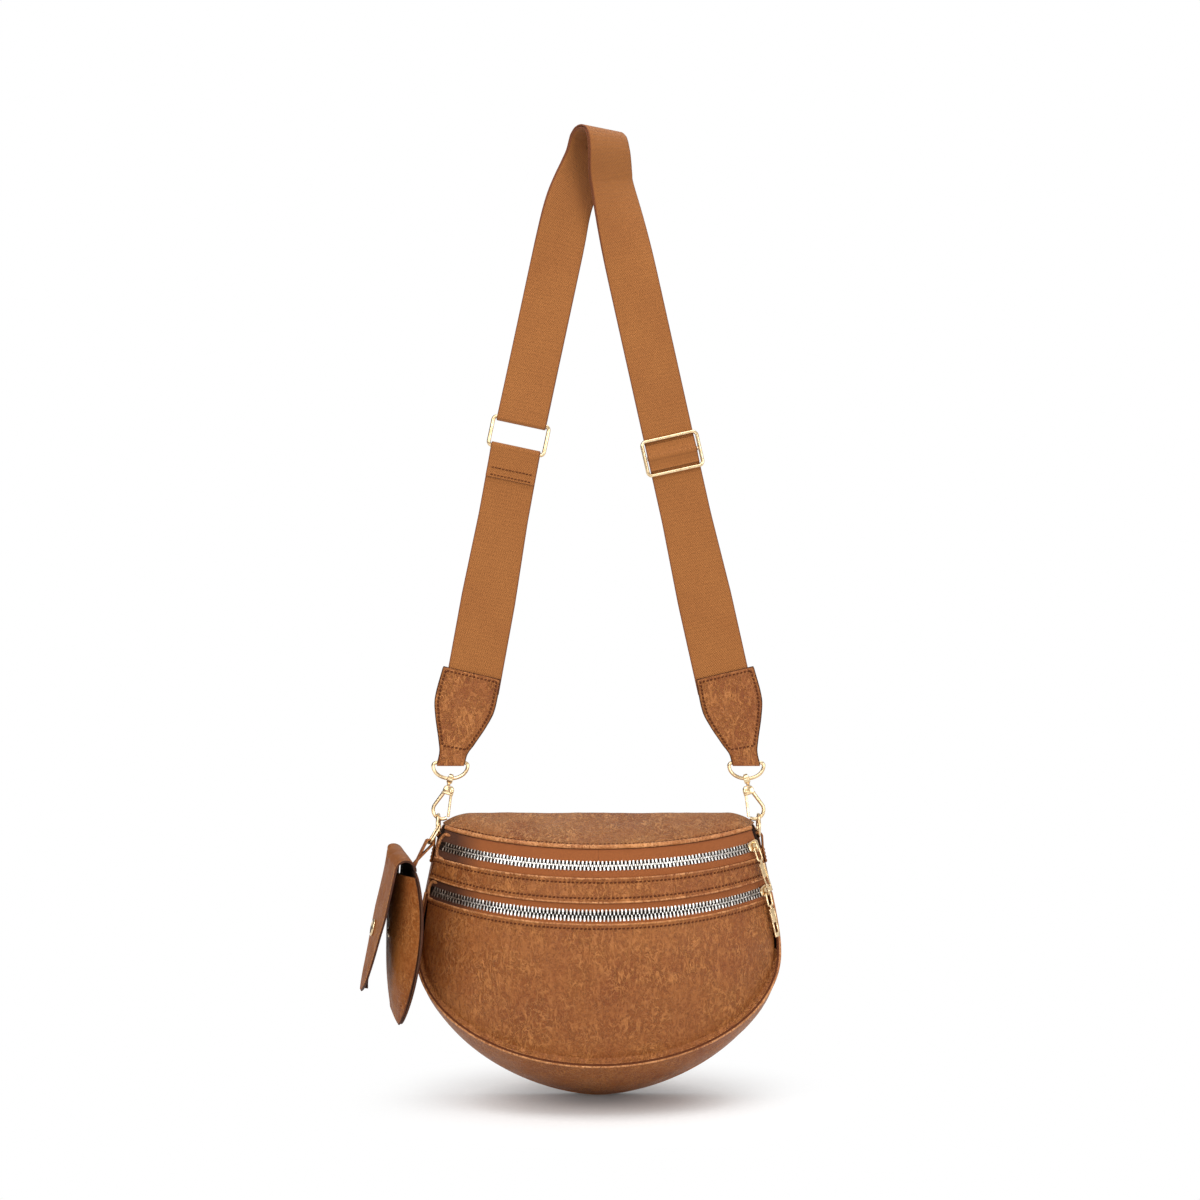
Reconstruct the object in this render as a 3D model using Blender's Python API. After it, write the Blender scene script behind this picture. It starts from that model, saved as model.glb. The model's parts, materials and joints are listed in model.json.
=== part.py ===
"""Half moon crossbody bag: sewn bag, two zips, snap hooks, webbing strap and a small flap pouch.

Metres, +Z up, +X right, the front faces -Y. The origin is where the strap hangs, at its crown.
Heights are written above the bag's base and depths in front of its back panel, and place() turns
both into world coordinates.
"""
import math

import bmesh
import bpy
from mathutils import Vector, geometry

# Overall
STRAP_DROP = 0.715
HOOK_DEPTH = 0.014
GAP = 0.0003

# Bag outline
BASE_HALF_WIDTH = 0.135
TOP_HEIGHT = 0.208
WAIST_SHARE = 7 / 13
WAIST_HEIGHT = TOP_HEIGHT * WAIST_SHARE
SIDE_TAPER_SHARE = 0.22
TAPER_START = 0.015
OUTLINE_POWER_SHARE = 1.15
FRONT_INSET = 0.002
FRONT_DROP = 0.037
BOTTOM_DEPTH = 0.062
SIDE_DEPTH = 0.019
GUSSET_DROP = 0.022
GUSSET_TOP = TOP_HEIGHT - GUSSET_DROP
GUSSET_BULGE = 0.004
SKIN = 0.0016
BACK_THICKNESS = 0.0026
CORNER_DROP = 0.007

# Front profile
PROFILE_RADIUS = 0.240
PROFILE_RISE = 0.003
PROFILE_HEIGHT = WAIST_HEIGHT + PROFILE_RISE
PROFILE_DEPTH = 0.077
FRONT_BULGE = 0.006

# Zips
ZIP_RADIUS = 0.165
ZIP_TILT = math.radians(10)
UPPER_DROP = 0.028
ZIP_SPACING = 0.034
UPPER_HEIGHT = TOP_HEIGHT - UPPER_DROP
LOWER_HEIGHT = UPPER_HEIGHT - ZIP_SPACING
UPPER_HALF_SPAN = 0.1165
LOWER_HALF_SPAN = 0.1245
STRAIGHT_HALF_SPAN = 0.096
LID_HALF_SPAN = 0.085
TOOTH_REACH = 0.0032
TOOTH_GAP = 0.0006
TOOTH_THICKNESS = 0.0022
TAPE_THICKNESS = 0.0009
TAPE_TOP_REACH = 0.0118
BAND_REACH = 0.0088
POCKET_REACH = 0.0064
PIPING_RADIUS = 0.0016
DIVIDER_SET_BACK = 0.010
DIVIDER_RISE = 0.004
LINING_HEM_SHARE = 0.93

# Zip sliders and pullers
SLIDER_LENGTH = 0.0105
SLIDER_WIDTH = 0.0090
SLIDER_PLATE = 0.0012
SLIDER_BLADE = 0.0005
SLIDER_INNER_WIDTH = 0.0062
BRIDGE_HEIGHT = 0.0042
BRIDGE_SPAN = 0.0068
BRIDGE_BAR = 0.0011
PULL_WIRE = 0.0008
LINK_LENGTH = 0.0095
LINK_WIDTH = 0.0048
BAR_LENGTH = 0.0210
BAR_WIDTH = 0.0052
BAR_THICKNESS = 0.0016
BAR_SLOT_LENGTH = 0.0070
BAR_SLOT_WIDTH = 0.0026

# Side rings and snap hooks
RING_HALF_SPAN = 0.1184
RING_RADIUS = 0.0080
RING_WIRE = 0.0010
GRIP_DROP = 0.0005
GRIP_HEIGHT = TOP_HEIGHT - GRIP_DROP
HOOK_SLACK = 0.0006
SIDE_TAB_WIDTH = 0.006
SIDE_TAB_LENGTH = 0.018
SIDE_TAB_THICKNESS = 0.0014
SIDE_TAB_EYE = 0.0020
SIDE_TAB_TURN = math.radians(130)
HOOK_WIRE = 0.0011
HOOK_SHIFT = 0.0012
HOOK_BODY_WIDTH = 0.0082
HOOK_BODY_HEIGHT = 0.0068
HOOK_BODY_THICKNESS = 0.0038
HOOK_REACH = 0.0058
HOOK_GATE_REACH = 0.0066
GATE_THICKNESS = 0.0016
GATE_WIDTH = 0.0019
GATE_SEAT_SHARE = 0.72
RIVET_RADIUS = 0.0017
RIVET_PROUD = 0.0007
RIVET_DOME_SHARE = 0.7
EYE_RADIUS = 0.0027
EYE_STEM = 0.0022
HOOK_HANG = 0.0293
TAB_RING_FOOT = GRIP_HEIGHT + HOOK_HANG
TAB_RING_DROP = 0.0117
TAB_RING_HALF_WIDTH = 0.0128
TAB_RING_WIRE = 0.0011

# Strap
WEB_WIDTH = 0.037
WEB_THICKNESS = 0.0013
WEB_LAYER_GAP = 0.0005
CROWN_RADIUS = 0.010
CROWN_YAW = math.radians(38)
TWIST_LENGTH = 0.110
RIGHT_KNEE_X = 0.0105
LEFT_KNEE_X = -0.0240
RIGHT_KNEE_DROP = 0.040
LEFT_KNEE_DROP = 0.061
TAB_TOP_X = 0.0935
TAB_LENGTH = 0.0782
TAB_TOP_HEIGHT = TAB_RING_FOOT + TAB_LENGTH
TAB_BOTTOM_X = 0.1095
TAB_NECK_RISE = 0.0092
TAB_BOTTOM_HEIGHT = TAB_RING_FOOT + TAB_NECK_RISE
TAB_WIDTH = 0.0430
TAB_SHAPE_SHARES = ((0, 1), (0.34, 1.03), (0.52, 0.88), (0.74, 0.605), (0.86, 0.465), (1, 0.465))
TAB_TURN_SHARE = 0.74
TAB_THICKNESS = 0.0046
BUCKLE_X = -0.0590
BUCKLE_SHARE = 0.43875
BUCKLE_HEIGHT = TAB_TOP_HEIGHT + (STRAP_DROP - TAB_TOP_HEIGHT) * BUCKLE_SHARE
TAB_OVERLAP = 0.012
TAB_POCKET_SLACK = 0.0012
CROWN_SWEEP = math.radians(75)
RING_OPENING_LENGTH = 0.035
BUCKLE_INNER_WIDTH = 0.0390
BUCKLE_INNER_HEIGHT = 0.0190
BUCKLE_WIRE = 0.0014
ADJUSTER_SHARE = 0.468
ADJUSTER_INNER_WIDTH = 0.0388
ADJUSTER_INNER_HEIGHT = 0.0230
ADJUSTER_WIRE = 0.0013
ADJUSTER_BAR_RADIUS = 0.0012
BAR_LOOP_LENGTH = 0.0190
BAR_LOOP_TURN = math.radians(150)
FOLD_LENGTH = 0.0230

# Pouch
POUCH_HEIGHT = 0.111
POUCH_WIDTH = 0.092
POUCH_DEPTH = 0.009
POUCH_LEATHER = 0.0014
POUCH_FOOT_WIDTH = 0.052
POUCH_CORNER_HEIGHT = 0.034
POUCH_YAW = math.radians(12)
POUCH_LEAN = math.radians(4.5)
POUCH_TOP_DROP = 0.031
POUCH_TOP_HEIGHT = TOP_HEIGHT - POUCH_TOP_DROP
POUCH_TOP_X = -0.1390
POUCH_TOP_DEPTH = 0.034
POUCH_MOUTH_DROP = 0.004
FLAP_LENGTH = 0.095
FLAP_ANGLE = math.radians(8.5)
FLAP_FOLD = 0.0075
FLAP_TIP_WIDTH = 0.036
FLAP_TAPER_SHARE = 0.4
FLAP_ROUND_SHARE = 0.86
FLAP_END_SHARE = 0.09
SNAP_RADIUS = 0.0062
SNAP_STUD_RADIUS = 0.0040
SNAP_HEIGHT = 0.0018
SNAP_DROP = 0.050
POUCH_LOOP_WIDTH = 0.0060
POUCH_LOOP_LENGTH = 0.012
LOOP_REACH = 0.005
LINK_WIRE = 0.0008
LINK_HOLD_ANGLE = math.radians(14)
LINK_SEAT_SHARE = 1.4
CHAIN_LINK_LENGTH = 0.0150
CHAIN_LINK_WIDTH = 0.0095

UP = Vector((0, 0, 1))
RIGHT = Vector((1, 0, 0))
BACK = Vector((0, 1, 0))

LEATHER = ("leather", (0.39, 0.16, 0.055), 0.46, 0.0)
EDGE = ("piping_leather", (0.33, 0.13, 0.045), 0.42, 0.0)
WEBBING = ("webbing", (0.43, 0.18, 0.055), 0.78, 0.0)
GOLD = ("pale_gold", (0.86, 0.68, 0.42), 0.22, 1.0)
TAPE = ("zip_tape", (0.37, 0.13, 0.045), 0.80, 0.0)
STEEL = ("zip_teeth", (0.62, 0.56, 0.48), 0.30, 1.0)
LINING = ("lining", (0.12, 0.06, 0.035), 0.85, 0.0)


def clear_scene():
    for old in list(bpy.data.objects):
        bpy.data.objects.remove(old, do_unlink=True)


def paint(made, look):
    name, colour, roughness, metallic = look
    material = bpy.data.materials.new(made.name + "_" + name)
    material.use_nodes = True
    shader = material.node_tree.nodes["Principled BSDF"]
    shader.inputs["Base Color"].default_value = (*colour, 1)
    shader.inputs["Roughness"].default_value = roughness
    shader.inputs["Metallic"].default_value = metallic
    made.data.materials.append(material)


def finish_mesh(name, mesh_work, look, origin=Vector()):
    """Turns a bmesh in world coordinates into an object whose origin is the given point."""
    bmesh.ops.recalc_face_normals(mesh_work, faces=mesh_work.faces)
    bmesh.ops.translate(mesh_work, vec=-origin, verts=mesh_work.verts)
    mesh = bpy.data.meshes.new(name)
    mesh_work.to_mesh(mesh)
    mesh_work.free()
    made = bpy.data.objects.new(name, mesh)
    made.location = origin
    bpy.context.collection.objects.link(made)
    paint(made, look)
    return made


def place(x, depth, height):
    """World point from a side offset, a depth in front of the back panel and a height above the base."""
    return Vector((x, HOOK_DEPTH - depth, height - STRAP_DROP))


def loft(name, rings, look, origin=Vector(), closed=False):
    """Skins a list of closed rings that have as many points each, and caps or joins the ends."""
    work = bmesh.new()
    rows = [[work.verts.new(point) for point in ring] for ring in rings]
    pairs = list(zip(rows, rows[1:]))
    if closed:
        pairs.append((rows[-1], rows[0]))
    for low, high in pairs:
        for index, vertex in enumerate(low):
            following = (index + 1) % len(low)
            work.faces.new((vertex, low[following], high[following], high[index]))
    if not closed:
        work.faces.new(rows[0])
        work.faces.new(rows[-1])
    return finish_mesh(name, work, look, origin)


def tangents(points, closed):
    found = []
    count = len(points)
    for index in range(count):
        if closed:
            before, after = points[index - 1], points[(index + 1) % count]
        else:
            before, after = points[max(index - 1, 0)], points[min(index + 1, count - 1)]
        found.append((after - before).normalized())
    return found


def wire(name, points, radius, look, flat_normal, closed=False, sides=8, origin=Vector()):
    """Round wire along points that stay near one plane, whose normal is given."""
    rings = []
    for point, tangent in zip(points, tangents(points, closed)):
        across = tangent.cross(flat_normal).normalized()
        out = across.cross(tangent).normalized()
        rings.append([
            point + radius * (math.cos(turn) * across + math.sin(turn) * out)
            for turn in (math.tau * side / sides for side in range(sides))])
    return loft(name, rings, look, origin, closed)


def ribbon(name, points, sides, normals, width, thickness, look, origin=Vector(), closed=False):
    """Flat band along points, with its own width direction and normal at each.

    Both faces are split along the same diagonal, so a twisted band keeps its thickness.
    """
    work = bmesh.new()
    rows = []
    for point, side, normal in zip(points, sides, normals):
        half_side, half_normal = side * width / 2, normal * thickness / 2
        corners = (point - half_side - half_normal, point + half_side - half_normal,
                   point + half_side + half_normal, point - half_side + half_normal)
        rows.append([work.verts.new(corner) for corner in corners])
    pairs = list(zip(rows, rows[1:]))
    if closed:
        pairs.append((rows[-1], rows[0]))
    else:
        work.faces.new(rows[0])
        work.faces.new(rows[-1])
    for low, high in pairs:
        work.faces.new((low[0], low[1], high[1]))
        work.faces.new((low[0], high[1], high[0]))
        work.faces.new((low[3], high[3], high[2]))
        work.faces.new((low[3], high[2], low[2]))
        work.faces.new((low[1], low[2], high[2], high[1]))
        work.faces.new((low[3], low[0], high[0], high[3]))
    return finish_mesh(name, work, look, origin)


def sheet(name, rows, thickness, outward, look, origin=Vector()):
    """Thin panel over a grid of points; its thickness goes inward, away from the given direction."""
    work = bmesh.new()
    grid = [[work.verts.new(point) for point in row] for row in rows]
    for low, high in zip(grid, grid[1:]):
        for index in range(len(low) - 1):
            work.faces.new((low[index], low[index + 1], high[index + 1], high[index]))
    work.normal_update()
    if sum(outward(face.calc_center_median()).dot(face.normal) for face in work.faces) < 0:
        bmesh.ops.reverse_faces(work, faces=work.faces)
    bmesh.ops.translate(work, vec=-origin, verts=work.verts)
    mesh = bpy.data.meshes.new(name)
    work.to_mesh(mesh)
    work.free()
    made = bpy.data.objects.new(name, mesh)
    made.location = origin
    bpy.context.collection.objects.link(made)
    thicken = made.modifiers.new("thickness", "SOLIDIFY")
    thicken.thickness = thickness
    thicken.offset = -1
    thicken.use_even_offset = True
    paint(made, look)
    return made


def block(name, centre, axes, sizes, look, origin=None):
    """Box with its own axes; sizes run along them in turn."""
    across, along, out = (axis * size / 2 for axis, size in zip(axes, sizes))
    rings = [[centre - along + sign_a * across + sign_b * out
              for sign_a, sign_b in ((-1, -1), (1, -1), (1, 1), (-1, 1))]]
    rings.append([point + 2 * along for point in rings[0]])
    return loft(name, rings, look, centre if origin is None else origin)


def join_onto(base, others):
    """Unions plain helper solids onto a base object, and keeps them as hidden guides."""
    for helper in others:
        helper.hide_render = True
        helper.display_type = "WIRE"
        union = base.modifiers.new("union_" + helper.name, "BOOLEAN")
        union.operation = "UNION"
        union.object = helper


def cut_from(base, cutter):
    cutter.hide_render = True
    cutter.display_type = "WIRE"
    cut = base.modifiers.new("cut_" + cutter.name, "BOOLEAN")
    cut.operation = "DIFFERENCE"
    cut.object = cutter


def spread(low, high, count):
    return [low + (high - low) * step / count for step in range(count + 1)]


# Bag shape

def front_depth(height):
    """Depth of the front at the middle of the bag, a round profile."""
    rise = height - PROFILE_HEIGHT
    return PROFILE_DEPTH - PROFILE_RADIUS + math.sqrt(PROFILE_RADIUS ** 2 - rise ** 2)


def side_half_width(height):
    rise = height - WAIST_HEIGHT
    return BASE_HALF_WIDTH - SIDE_TAPER_SHARE * (math.hypot(rise, TAPER_START) - TAPER_START)


def outline_steps(lower_steps, upper_steps, top):
    """Stations round the half moon, as an angle below the waist or a height above it."""
    below = [("turn", angle) for angle in spread(-math.pi / 2, math.pi / 2, lower_steps)]
    above = [("rise", height) for height in spread(WAIST_HEIGHT, top, upper_steps)[1:]]
    left = [(kind, value, -1) for kind, value in reversed(above)]
    right = [(kind, value, 1) for kind, value in above]
    return left + [(kind, value, 1) for kind, value in below] + right


def back_rail(station, depth=0):
    kind, value, side = station
    if kind == "rise":
        return place(side * side_half_width(value), depth, value)
    swing = abs(math.sin(value)) ** OUTLINE_POWER_SHARE
    x = math.copysign(BASE_HALF_WIDTH * swing, value)
    return place(x, depth, WAIST_HEIGHT * (1 - math.cos(value)))


def front_rail(station):
    kind, value, side = station
    if kind == "rise":
        return place(side * (side_half_width(value) - FRONT_INSET), SIDE_DEPTH, value)
    x = (BASE_HALF_WIDTH - FRONT_INSET) * math.sin(value)
    height = WAIST_HEIGHT - (WAIST_HEIGHT - FRONT_DROP) * math.cos(value)
    depth = SIDE_DEPTH + (BOTTOM_DEPTH - SIDE_DEPTH) * math.cos(value)
    return place(x, depth, height)


class ZipTrack:
    """A zip that runs on an arc of one circle, so that its slider turns about the circle's axis."""

    def __init__(self, height, half_span):
        self.start = place(0, front_depth(height), height)
        self.inward = BACK * math.cos(ZIP_TILT) + UP * math.sin(ZIP_TILT)
        self.axis = UP * math.cos(ZIP_TILT) - BACK * math.sin(ZIP_TILT)
        self.centre = self.start + ZIP_RADIUS * self.inward
        slope = math.asin((height - PROFILE_HEIGHT) / PROFILE_RADIUS)
        self.lean = slope + ZIP_TILT
        self.half_angle = self.angle_at(half_span)

    def angle_at(self, x):
        return math.asin(x / ZIP_RADIUS)

    def radial(self, angle):
        return RIGHT * math.sin(angle) - self.inward * math.cos(angle)

    def outward(self, angle):
        return self.radial(angle) * math.cos(self.lean) + self.axis * math.sin(self.lean)

    def down(self, angle):
        return self.radial(angle) * math.sin(self.lean) - self.axis * math.cos(self.lean)

    def along(self, angle):
        return RIGHT * math.cos(angle) + self.inward * math.sin(angle)

    def point(self, angle, drop=0, lift=0):
        middle = self.centre + ZIP_RADIUS * self.radial(angle)
        return middle + drop * self.down(angle) + lift * self.outward(angle)


UPPER = ZipTrack(UPPER_HEIGHT, UPPER_HALF_SPAN)
LOWER = ZipTrack(LOWER_HEIGHT, LOWER_HALF_SPAN)
LID_PIVOT = place(0, 0, TOP_HEIGHT)


def away_from_middle(point):
    return point - place(0, SIDE_DEPTH, WAIST_HEIGHT)


# Bag panels

def corner_share(x):
    """How far a place along the top is into the rounded corner, from 0 to 1."""
    return max(abs(x) - STRAIGHT_HALF_SPAN, 0) / (UPPER_HALF_SPAN - STRAIGHT_HALF_SPAN)


def top_edge(x):
    return TOP_HEIGHT - CORNER_DROP * corner_share(x) ** 2


def back_panel():
    stations = outline_steps(16, 4, TOP_HEIGHT - 2 * CORNER_DROP)
    rim = [back_rail(station) for station in stations]
    for x in reversed(spread(-UPPER_HALF_SPAN, UPPER_HALF_SPAN, 16)):
        rim.append(place(x, 0, top_edge(x) - GAP))
    offset = GAP * BACK
    inner = [point + offset for point in rim]
    outer = [point + BACK_THICKNESS * BACK for point in inner]
    loft("back_panel", [inner, outer], LEATHER)


def gusset():
    stations = outline_steps(16, 4, GUSSET_TOP)
    front = [front_rail(station) for station in stations]
    back = [back_rail(station, SKIN / 2 + GAP) for station in stations]
    rows = []
    for share in spread(0, 1, 3):
        row = []
        for near, far in zip(front, back):
            middle = near.lerp(far, share)
            bulge = GUSSET_BULGE * 4 * share * (1 - share)
            row.append(middle + bulge * away_from_middle(middle).normalized())
        rows.append(row)
    sheet("gusset", rows, SKIN, away_from_middle, LEATHER)


def piping_clear():
    return PIPING_RADIUS + GAP


def front_piping():
    top = LOWER.point(LOWER.half_angle, POCKET_REACH).z + STRAP_DROP
    stations = outline_steps(20, 2, top)
    points = [front_rail(station) - piping_clear() * BACK for station in stations]
    wire("front_piping", points, PIPING_RADIUS, EDGE, BACK, sides=6)


def front_grid(set_back, top_drop, columns, levels):
    """Domed grid from under the lower zip down to the front piping."""
    top_half = LOWER.half_angle
    rows = []
    for level in spread(0, 1, levels):
        row = []
        for share in spread(-1, 1, columns):
            turn = share * math.pi / 2
            upper_point = LOWER.point(share * top_half, top_drop, -set_back)
            inset = set_back + PIPING_RADIUS + SKIN
            lower_point = front_rail(("turn", turn, 1)) + set_back * BACK
            lower_point += inset * (UP * math.cos(turn) - RIGHT * math.sin(turn))
            swell = FRONT_BULGE * 4 * level * (1 - level)
            forward = swell * (1 + 2 * math.cos(turn)) / 3
            middle = upper_point.lerp(lower_point, level)
            row.append(middle - forward * BACK + swell * math.sin(2 * turn) / 2 * RIGHT)
        rows.append(row)
    return rows


def front_panel():
    rows = front_grid(0, POCKET_REACH, 20, 6)
    sheet("front_panel", rows, SKIN, away_from_middle, LEATHER)


def pocket_divider():
    rows = front_grid(DIVIDER_SET_BACK, -DIVIDER_RISE, 14, 3)
    hem = [LOWER.point(share * LOWER.half_angle * LINING_HEM_SHARE, -TOOTH_REACH - DIVIDER_RISE,
                       -TAPE_THICKNESS - GAP) for share in spread(-1, 1, 14)]
    sheet("pocket_divider", [hem] + rows, SKIN, away_from_middle, LINING)


def strip(name, track, angles, drops, lifts, thickness, look, origin=Vector()):
    """Solid band that follows a zip's arc between two drops, with its own lift off the tape."""
    rings = []
    for angle in angles:
        corners = []
        for drop, lift, side in ((drops[0], lifts[0], 1), (drops[1], lifts[1], 1),
                                 (drops[1], lifts[1], -1), (drops[0], lifts[0], -1)):
            corners.append(track.point(angle, drop, lift + side * thickness / 2))
        rings.append(corners)
    return loft(name, rings, look, origin)


def zip_rows(prefix, track, top_angles, top_origin, low_reach):
    whole = spread(-track.half_angle, track.half_angle, 18)
    strip(prefix + "_teeth_top", track, top_angles, (-TOOTH_REACH, -TOOTH_GAP), (0, 0),
          TOOTH_THICKNESS, STEEL, top_origin)
    strip(prefix + "_teeth_bottom", track, whole, (TOOTH_GAP, TOOTH_REACH), (0, 0),
          TOOTH_THICKNESS, STEEL)
    strip(prefix + "_tape_bottom", track, whole, (TOOTH_REACH + GAP, low_reach - GAP), (0, 0),
          TAPE_THICKNESS, TAPE)


def upper_zip():
    lid = UPPER.angle_at(LID_HALF_SPAN)
    angles = spread(-lid, lid, 14)
    zip_rows("upper", UPPER, angles, LID_PIVOT, BAND_REACH)
    strip("upper_tape_top", UPPER, angles, (-TAPE_TOP_REACH, -TOOTH_REACH - GAP), (0, 0),
          TAPE_THICKNESS, TAPE, LID_PIVOT)


def lower_zip():
    whole = spread(-LOWER.half_angle, LOWER.half_angle, 18)
    zip_rows("lower", LOWER, whole, Vector(), POCKET_REACH)
    strip("lower_tape_top", LOWER, whole, (GAP - BAND_REACH, -TOOTH_REACH - GAP), (0, 0),
          TAPE_THICKNESS, TAPE)


def middle_band():
    rows = []
    for share in spread(0, 1, 2):
        row = []
        for side in spread(-1, 1, 18):
            high = UPPER.point(side * UPPER.half_angle, BAND_REACH + GAP, SKIN / 2)
            low = LOWER.point(side * LOWER.half_angle, -BAND_REACH - GAP, SKIN / 2)
            row.append(high.lerp(low, share))
        rows.append(row)
    sheet("middle_band", rows, SKIN, away_from_middle, LEATHER)


def piping_drop():
    return -TAPE_TOP_REACH - piping_clear()


def top_piping():
    lid = UPPER.angle_at(LID_HALF_SPAN)
    points = [UPPER.point(angle, piping_drop()) for angle in spread(-lid, lid, 16)]
    wire("top_piping", points, PIPING_RADIUS, EDGE, UP, sides=6, origin=LID_PIVOT)


def top_grid(near_angle, far_angle, columns, front_drop, set_back):
    """Grid of the top, from the straight back edge to a line along the upper zip."""
    rows = []
    for level in spread(0, 1, 3):
        row = []
        for angle in spread(near_angle, far_angle, columns):
            front = UPPER.point(angle, front_drop, SKIN / 2) - set_back * UPPER.radial(angle)
            x = ZIP_RADIUS * math.sin(angle)
            corner = corner_share(x)
            rear = place(x, SKIN * corner, top_edge(x) + SKIN + GAP)
            middle = rear.lerp(front, level)
            bulge = FRONT_BULGE * 4 * level * (1 - level) * (1 - corner) / 2
            row.append(middle + bulge * UP)
        rows.append(row)
    return rows


def upwards(point):
    return UP


def top_panel():
    lid = UPPER.angle_at(LID_HALF_SPAN)
    rows = top_grid(-lid, lid, 14, piping_drop(), piping_clear() + SKIN / 2)
    sheet("top_panel", rows, SKIN, upwards, LEATHER, LID_PIVOT)


def top_corner(name, side):
    lid = UPPER.angle_at(LID_HALF_SPAN + GAP * 2)
    rows = top_grid(side * lid, side * UPPER.half_angle, 4, -TOOTH_REACH - SKIN - GAP, 0)
    sheet(name, rows, SKIN, upwards, LEATHER)


def zip_end(name, side):
    """Sewn end of the upper zip's top row, beside the part that opens."""
    lid = UPPER.angle_at(LID_HALF_SPAN + GAP * 2)
    angles = spread(side * lid, side * UPPER.half_angle, 3)
    strip(name, UPPER, angles, (-TOOTH_REACH, -TOOTH_GAP), (0, 0), TOOTH_THICKNESS, STEEL)


# Zip sliders and pullers

def plate_lift():
    return TOOTH_THICKNESS / 2 + GAP + SLIDER_PLATE / 2


def slider(prefix, track):
    """Slider body over and under the teeth, with a thin blade between the rows and a bridge."""
    angle = track.half_angle - SLIDER_LENGTH / 2 / ZIP_RADIUS
    axes = (track.down(angle), track.along(angle), track.outward(angle))
    outer = block(prefix + "_slider", track.point(angle, 0, plate_lift()), axes,
                  (SLIDER_WIDTH, SLIDER_LENGTH, SLIDER_PLATE), GOLD, track.centre)
    inner = block(prefix + "_slider_foot", track.point(angle, 0, -plate_lift()), axes,
                  (SLIDER_INNER_WIDTH, SLIDER_LENGTH, SLIDER_PLATE), GOLD)
    blade = block(prefix + "_slider_blade", track.point(angle), axes,
                  (SLIDER_BLADE, SLIDER_LENGTH / 2, 2 * plate_lift()), GOLD)
    posts = []
    for sign in (-1, 1):
        foot = track.point(angle, sign * BRIDGE_SPAN / 2, plate_lift() + BRIDGE_HEIGHT / 2)
        posts.append(block(prefix + "_bridge_post_" + ("a" if sign < 0 else "b"), foot, axes,
                           (BRIDGE_BAR, BRIDGE_BAR * 2, BRIDGE_HEIGHT), GOLD))
    top = block(prefix + "_bridge_top",
                track.point(angle, 0, plate_lift() + BRIDGE_HEIGHT - BRIDGE_BAR / 2), axes,
                (BRIDGE_SPAN, BRIDGE_BAR * 2, BRIDGE_BAR), GOLD)
    join_onto(outer, [inner, blade] + posts + [top])
    return angle


def loop_points(centre, across, along, half_width, half_length, corner, steps):
    """Rounded rectangle in the plane of two directions."""
    points = []
    for quarter, (sign_x, sign_y) in enumerate(((1, 1), (-1, 1), (-1, -1), (1, -1))):
        middle = (centre + sign_x * (half_width - corner) * across
                  + sign_y * (half_length - corner) * along)
        for step in range(steps + 1):
            turn = math.pi / 2 * (quarter + step / steps)
            points.append(middle + corner * (math.cos(turn) * across + math.sin(turn) * along))
    return points


def puller(prefix, track, angle):
    """Wire link that hangs on the slider's bridge, and the flat bar that hangs on the link."""
    down, along, outward = track.down(angle), track.along(angle), track.outward(angle)
    bridge_under = plate_lift() + BRIDGE_HEIGHT - BRIDGE_BAR - GAP - PULL_WIRE
    post_drop = (BRIDGE_SPAN - BRIDGE_BAR) / 2 - GAP - PULL_WIRE
    pivot = track.point(angle, post_drop, bridge_under)
    points = loop_points(pivot + LINK_LENGTH / 2 * down, along, down, LINK_WIDTH / 2,
                         LINK_LENGTH / 2, PULL_WIRE * 1.5, 2)
    wire(prefix + "_pull_link", points, PULL_WIRE, GOLD, outward, closed=True, sides=6, origin=pivot)
    hang = pivot + LINK_LENGTH * down
    eye_size = 2 * (PULL_WIRE + GAP)
    neck_size = eye_size + 2 * PULL_WIRE
    neck_width = LINK_WIDTH - 3 * PULL_WIRE
    axes = (along, down, outward)
    bar_centre = hang + (BAR_LENGTH / 2 + neck_size / 2 + PULL_WIRE) * down
    bar = block(prefix + "_puller", bar_centre, axes, (BAR_WIDTH, BAR_LENGTH, BAR_THICKNESS), GOLD, hang)
    neck = block(prefix + "_puller_neck", hang + PULL_WIRE * down, axes,
                 (neck_width, neck_size + 2 * PULL_WIRE, neck_size), GOLD)
    eye = block(prefix + "_puller_eye", hang, axes, (BAR_WIDTH, eye_size, eye_size), GOLD)
    slot = block(prefix + "_puller_slot",
                 bar_centre + (BAR_LENGTH / 2 - BAR_SLOT_LENGTH) * down, axes,
                 (BAR_SLOT_WIDTH, BAR_SLOT_LENGTH, BAR_WIDTH), GOLD)
    join_onto(bar, [neck])
    cut_from(bar, eye)
    cut_from(bar, slot)


def zip_hardware():
    for prefix, track in (("upper", UPPER), ("lower", LOWER)):
        angle = slider(prefix, track)
        puller(prefix, track, angle)


def bag():
    back_panel()
    gusset()
    front_piping()
    front_panel()
    pocket_divider()
    lower_zip()
    middle_band()
    upper_zip()
    top_piping()
    top_panel()
    top_corner("top_corner_left", -1)
    top_corner("top_corner_right", 1)
    zip_end("upper_teeth_end_left", -1)
    zip_end("upper_teeth_end_right", 1)


# Side rings and snap hooks

class HookFrame:
    """Where one snap hook hangs: its load line runs from the tab ring's foot to the side ring's top."""

    def __init__(self, side):
        self.side = side
        self.grip = place(side * RING_HALF_SPAN, HOOK_DEPTH, GRIP_HEIGHT)
        self.tab_ring = place(side * TAB_BOTTOM_X, HOOK_DEPTH, TAB_RING_FOOT)
        self.up = (self.tab_ring - self.grip).normalized()
        self.out = side * RIGHT - self.up * self.up.dot(side * RIGHT)
        self.out.normalize()
        self.length = (self.tab_ring - self.grip).length

    def point(self, out, up):
        return self.grip + out * self.out + up * self.up

    def axes(self):
        return (self.out, self.up, BACK)


def circle(centre, first, second, radius, steps):
    return [centre + radius * (math.cos(math.tau * step / steps) * first
                               + math.sin(math.tau * step / steps) * second)
            for step in range(steps)]


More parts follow.
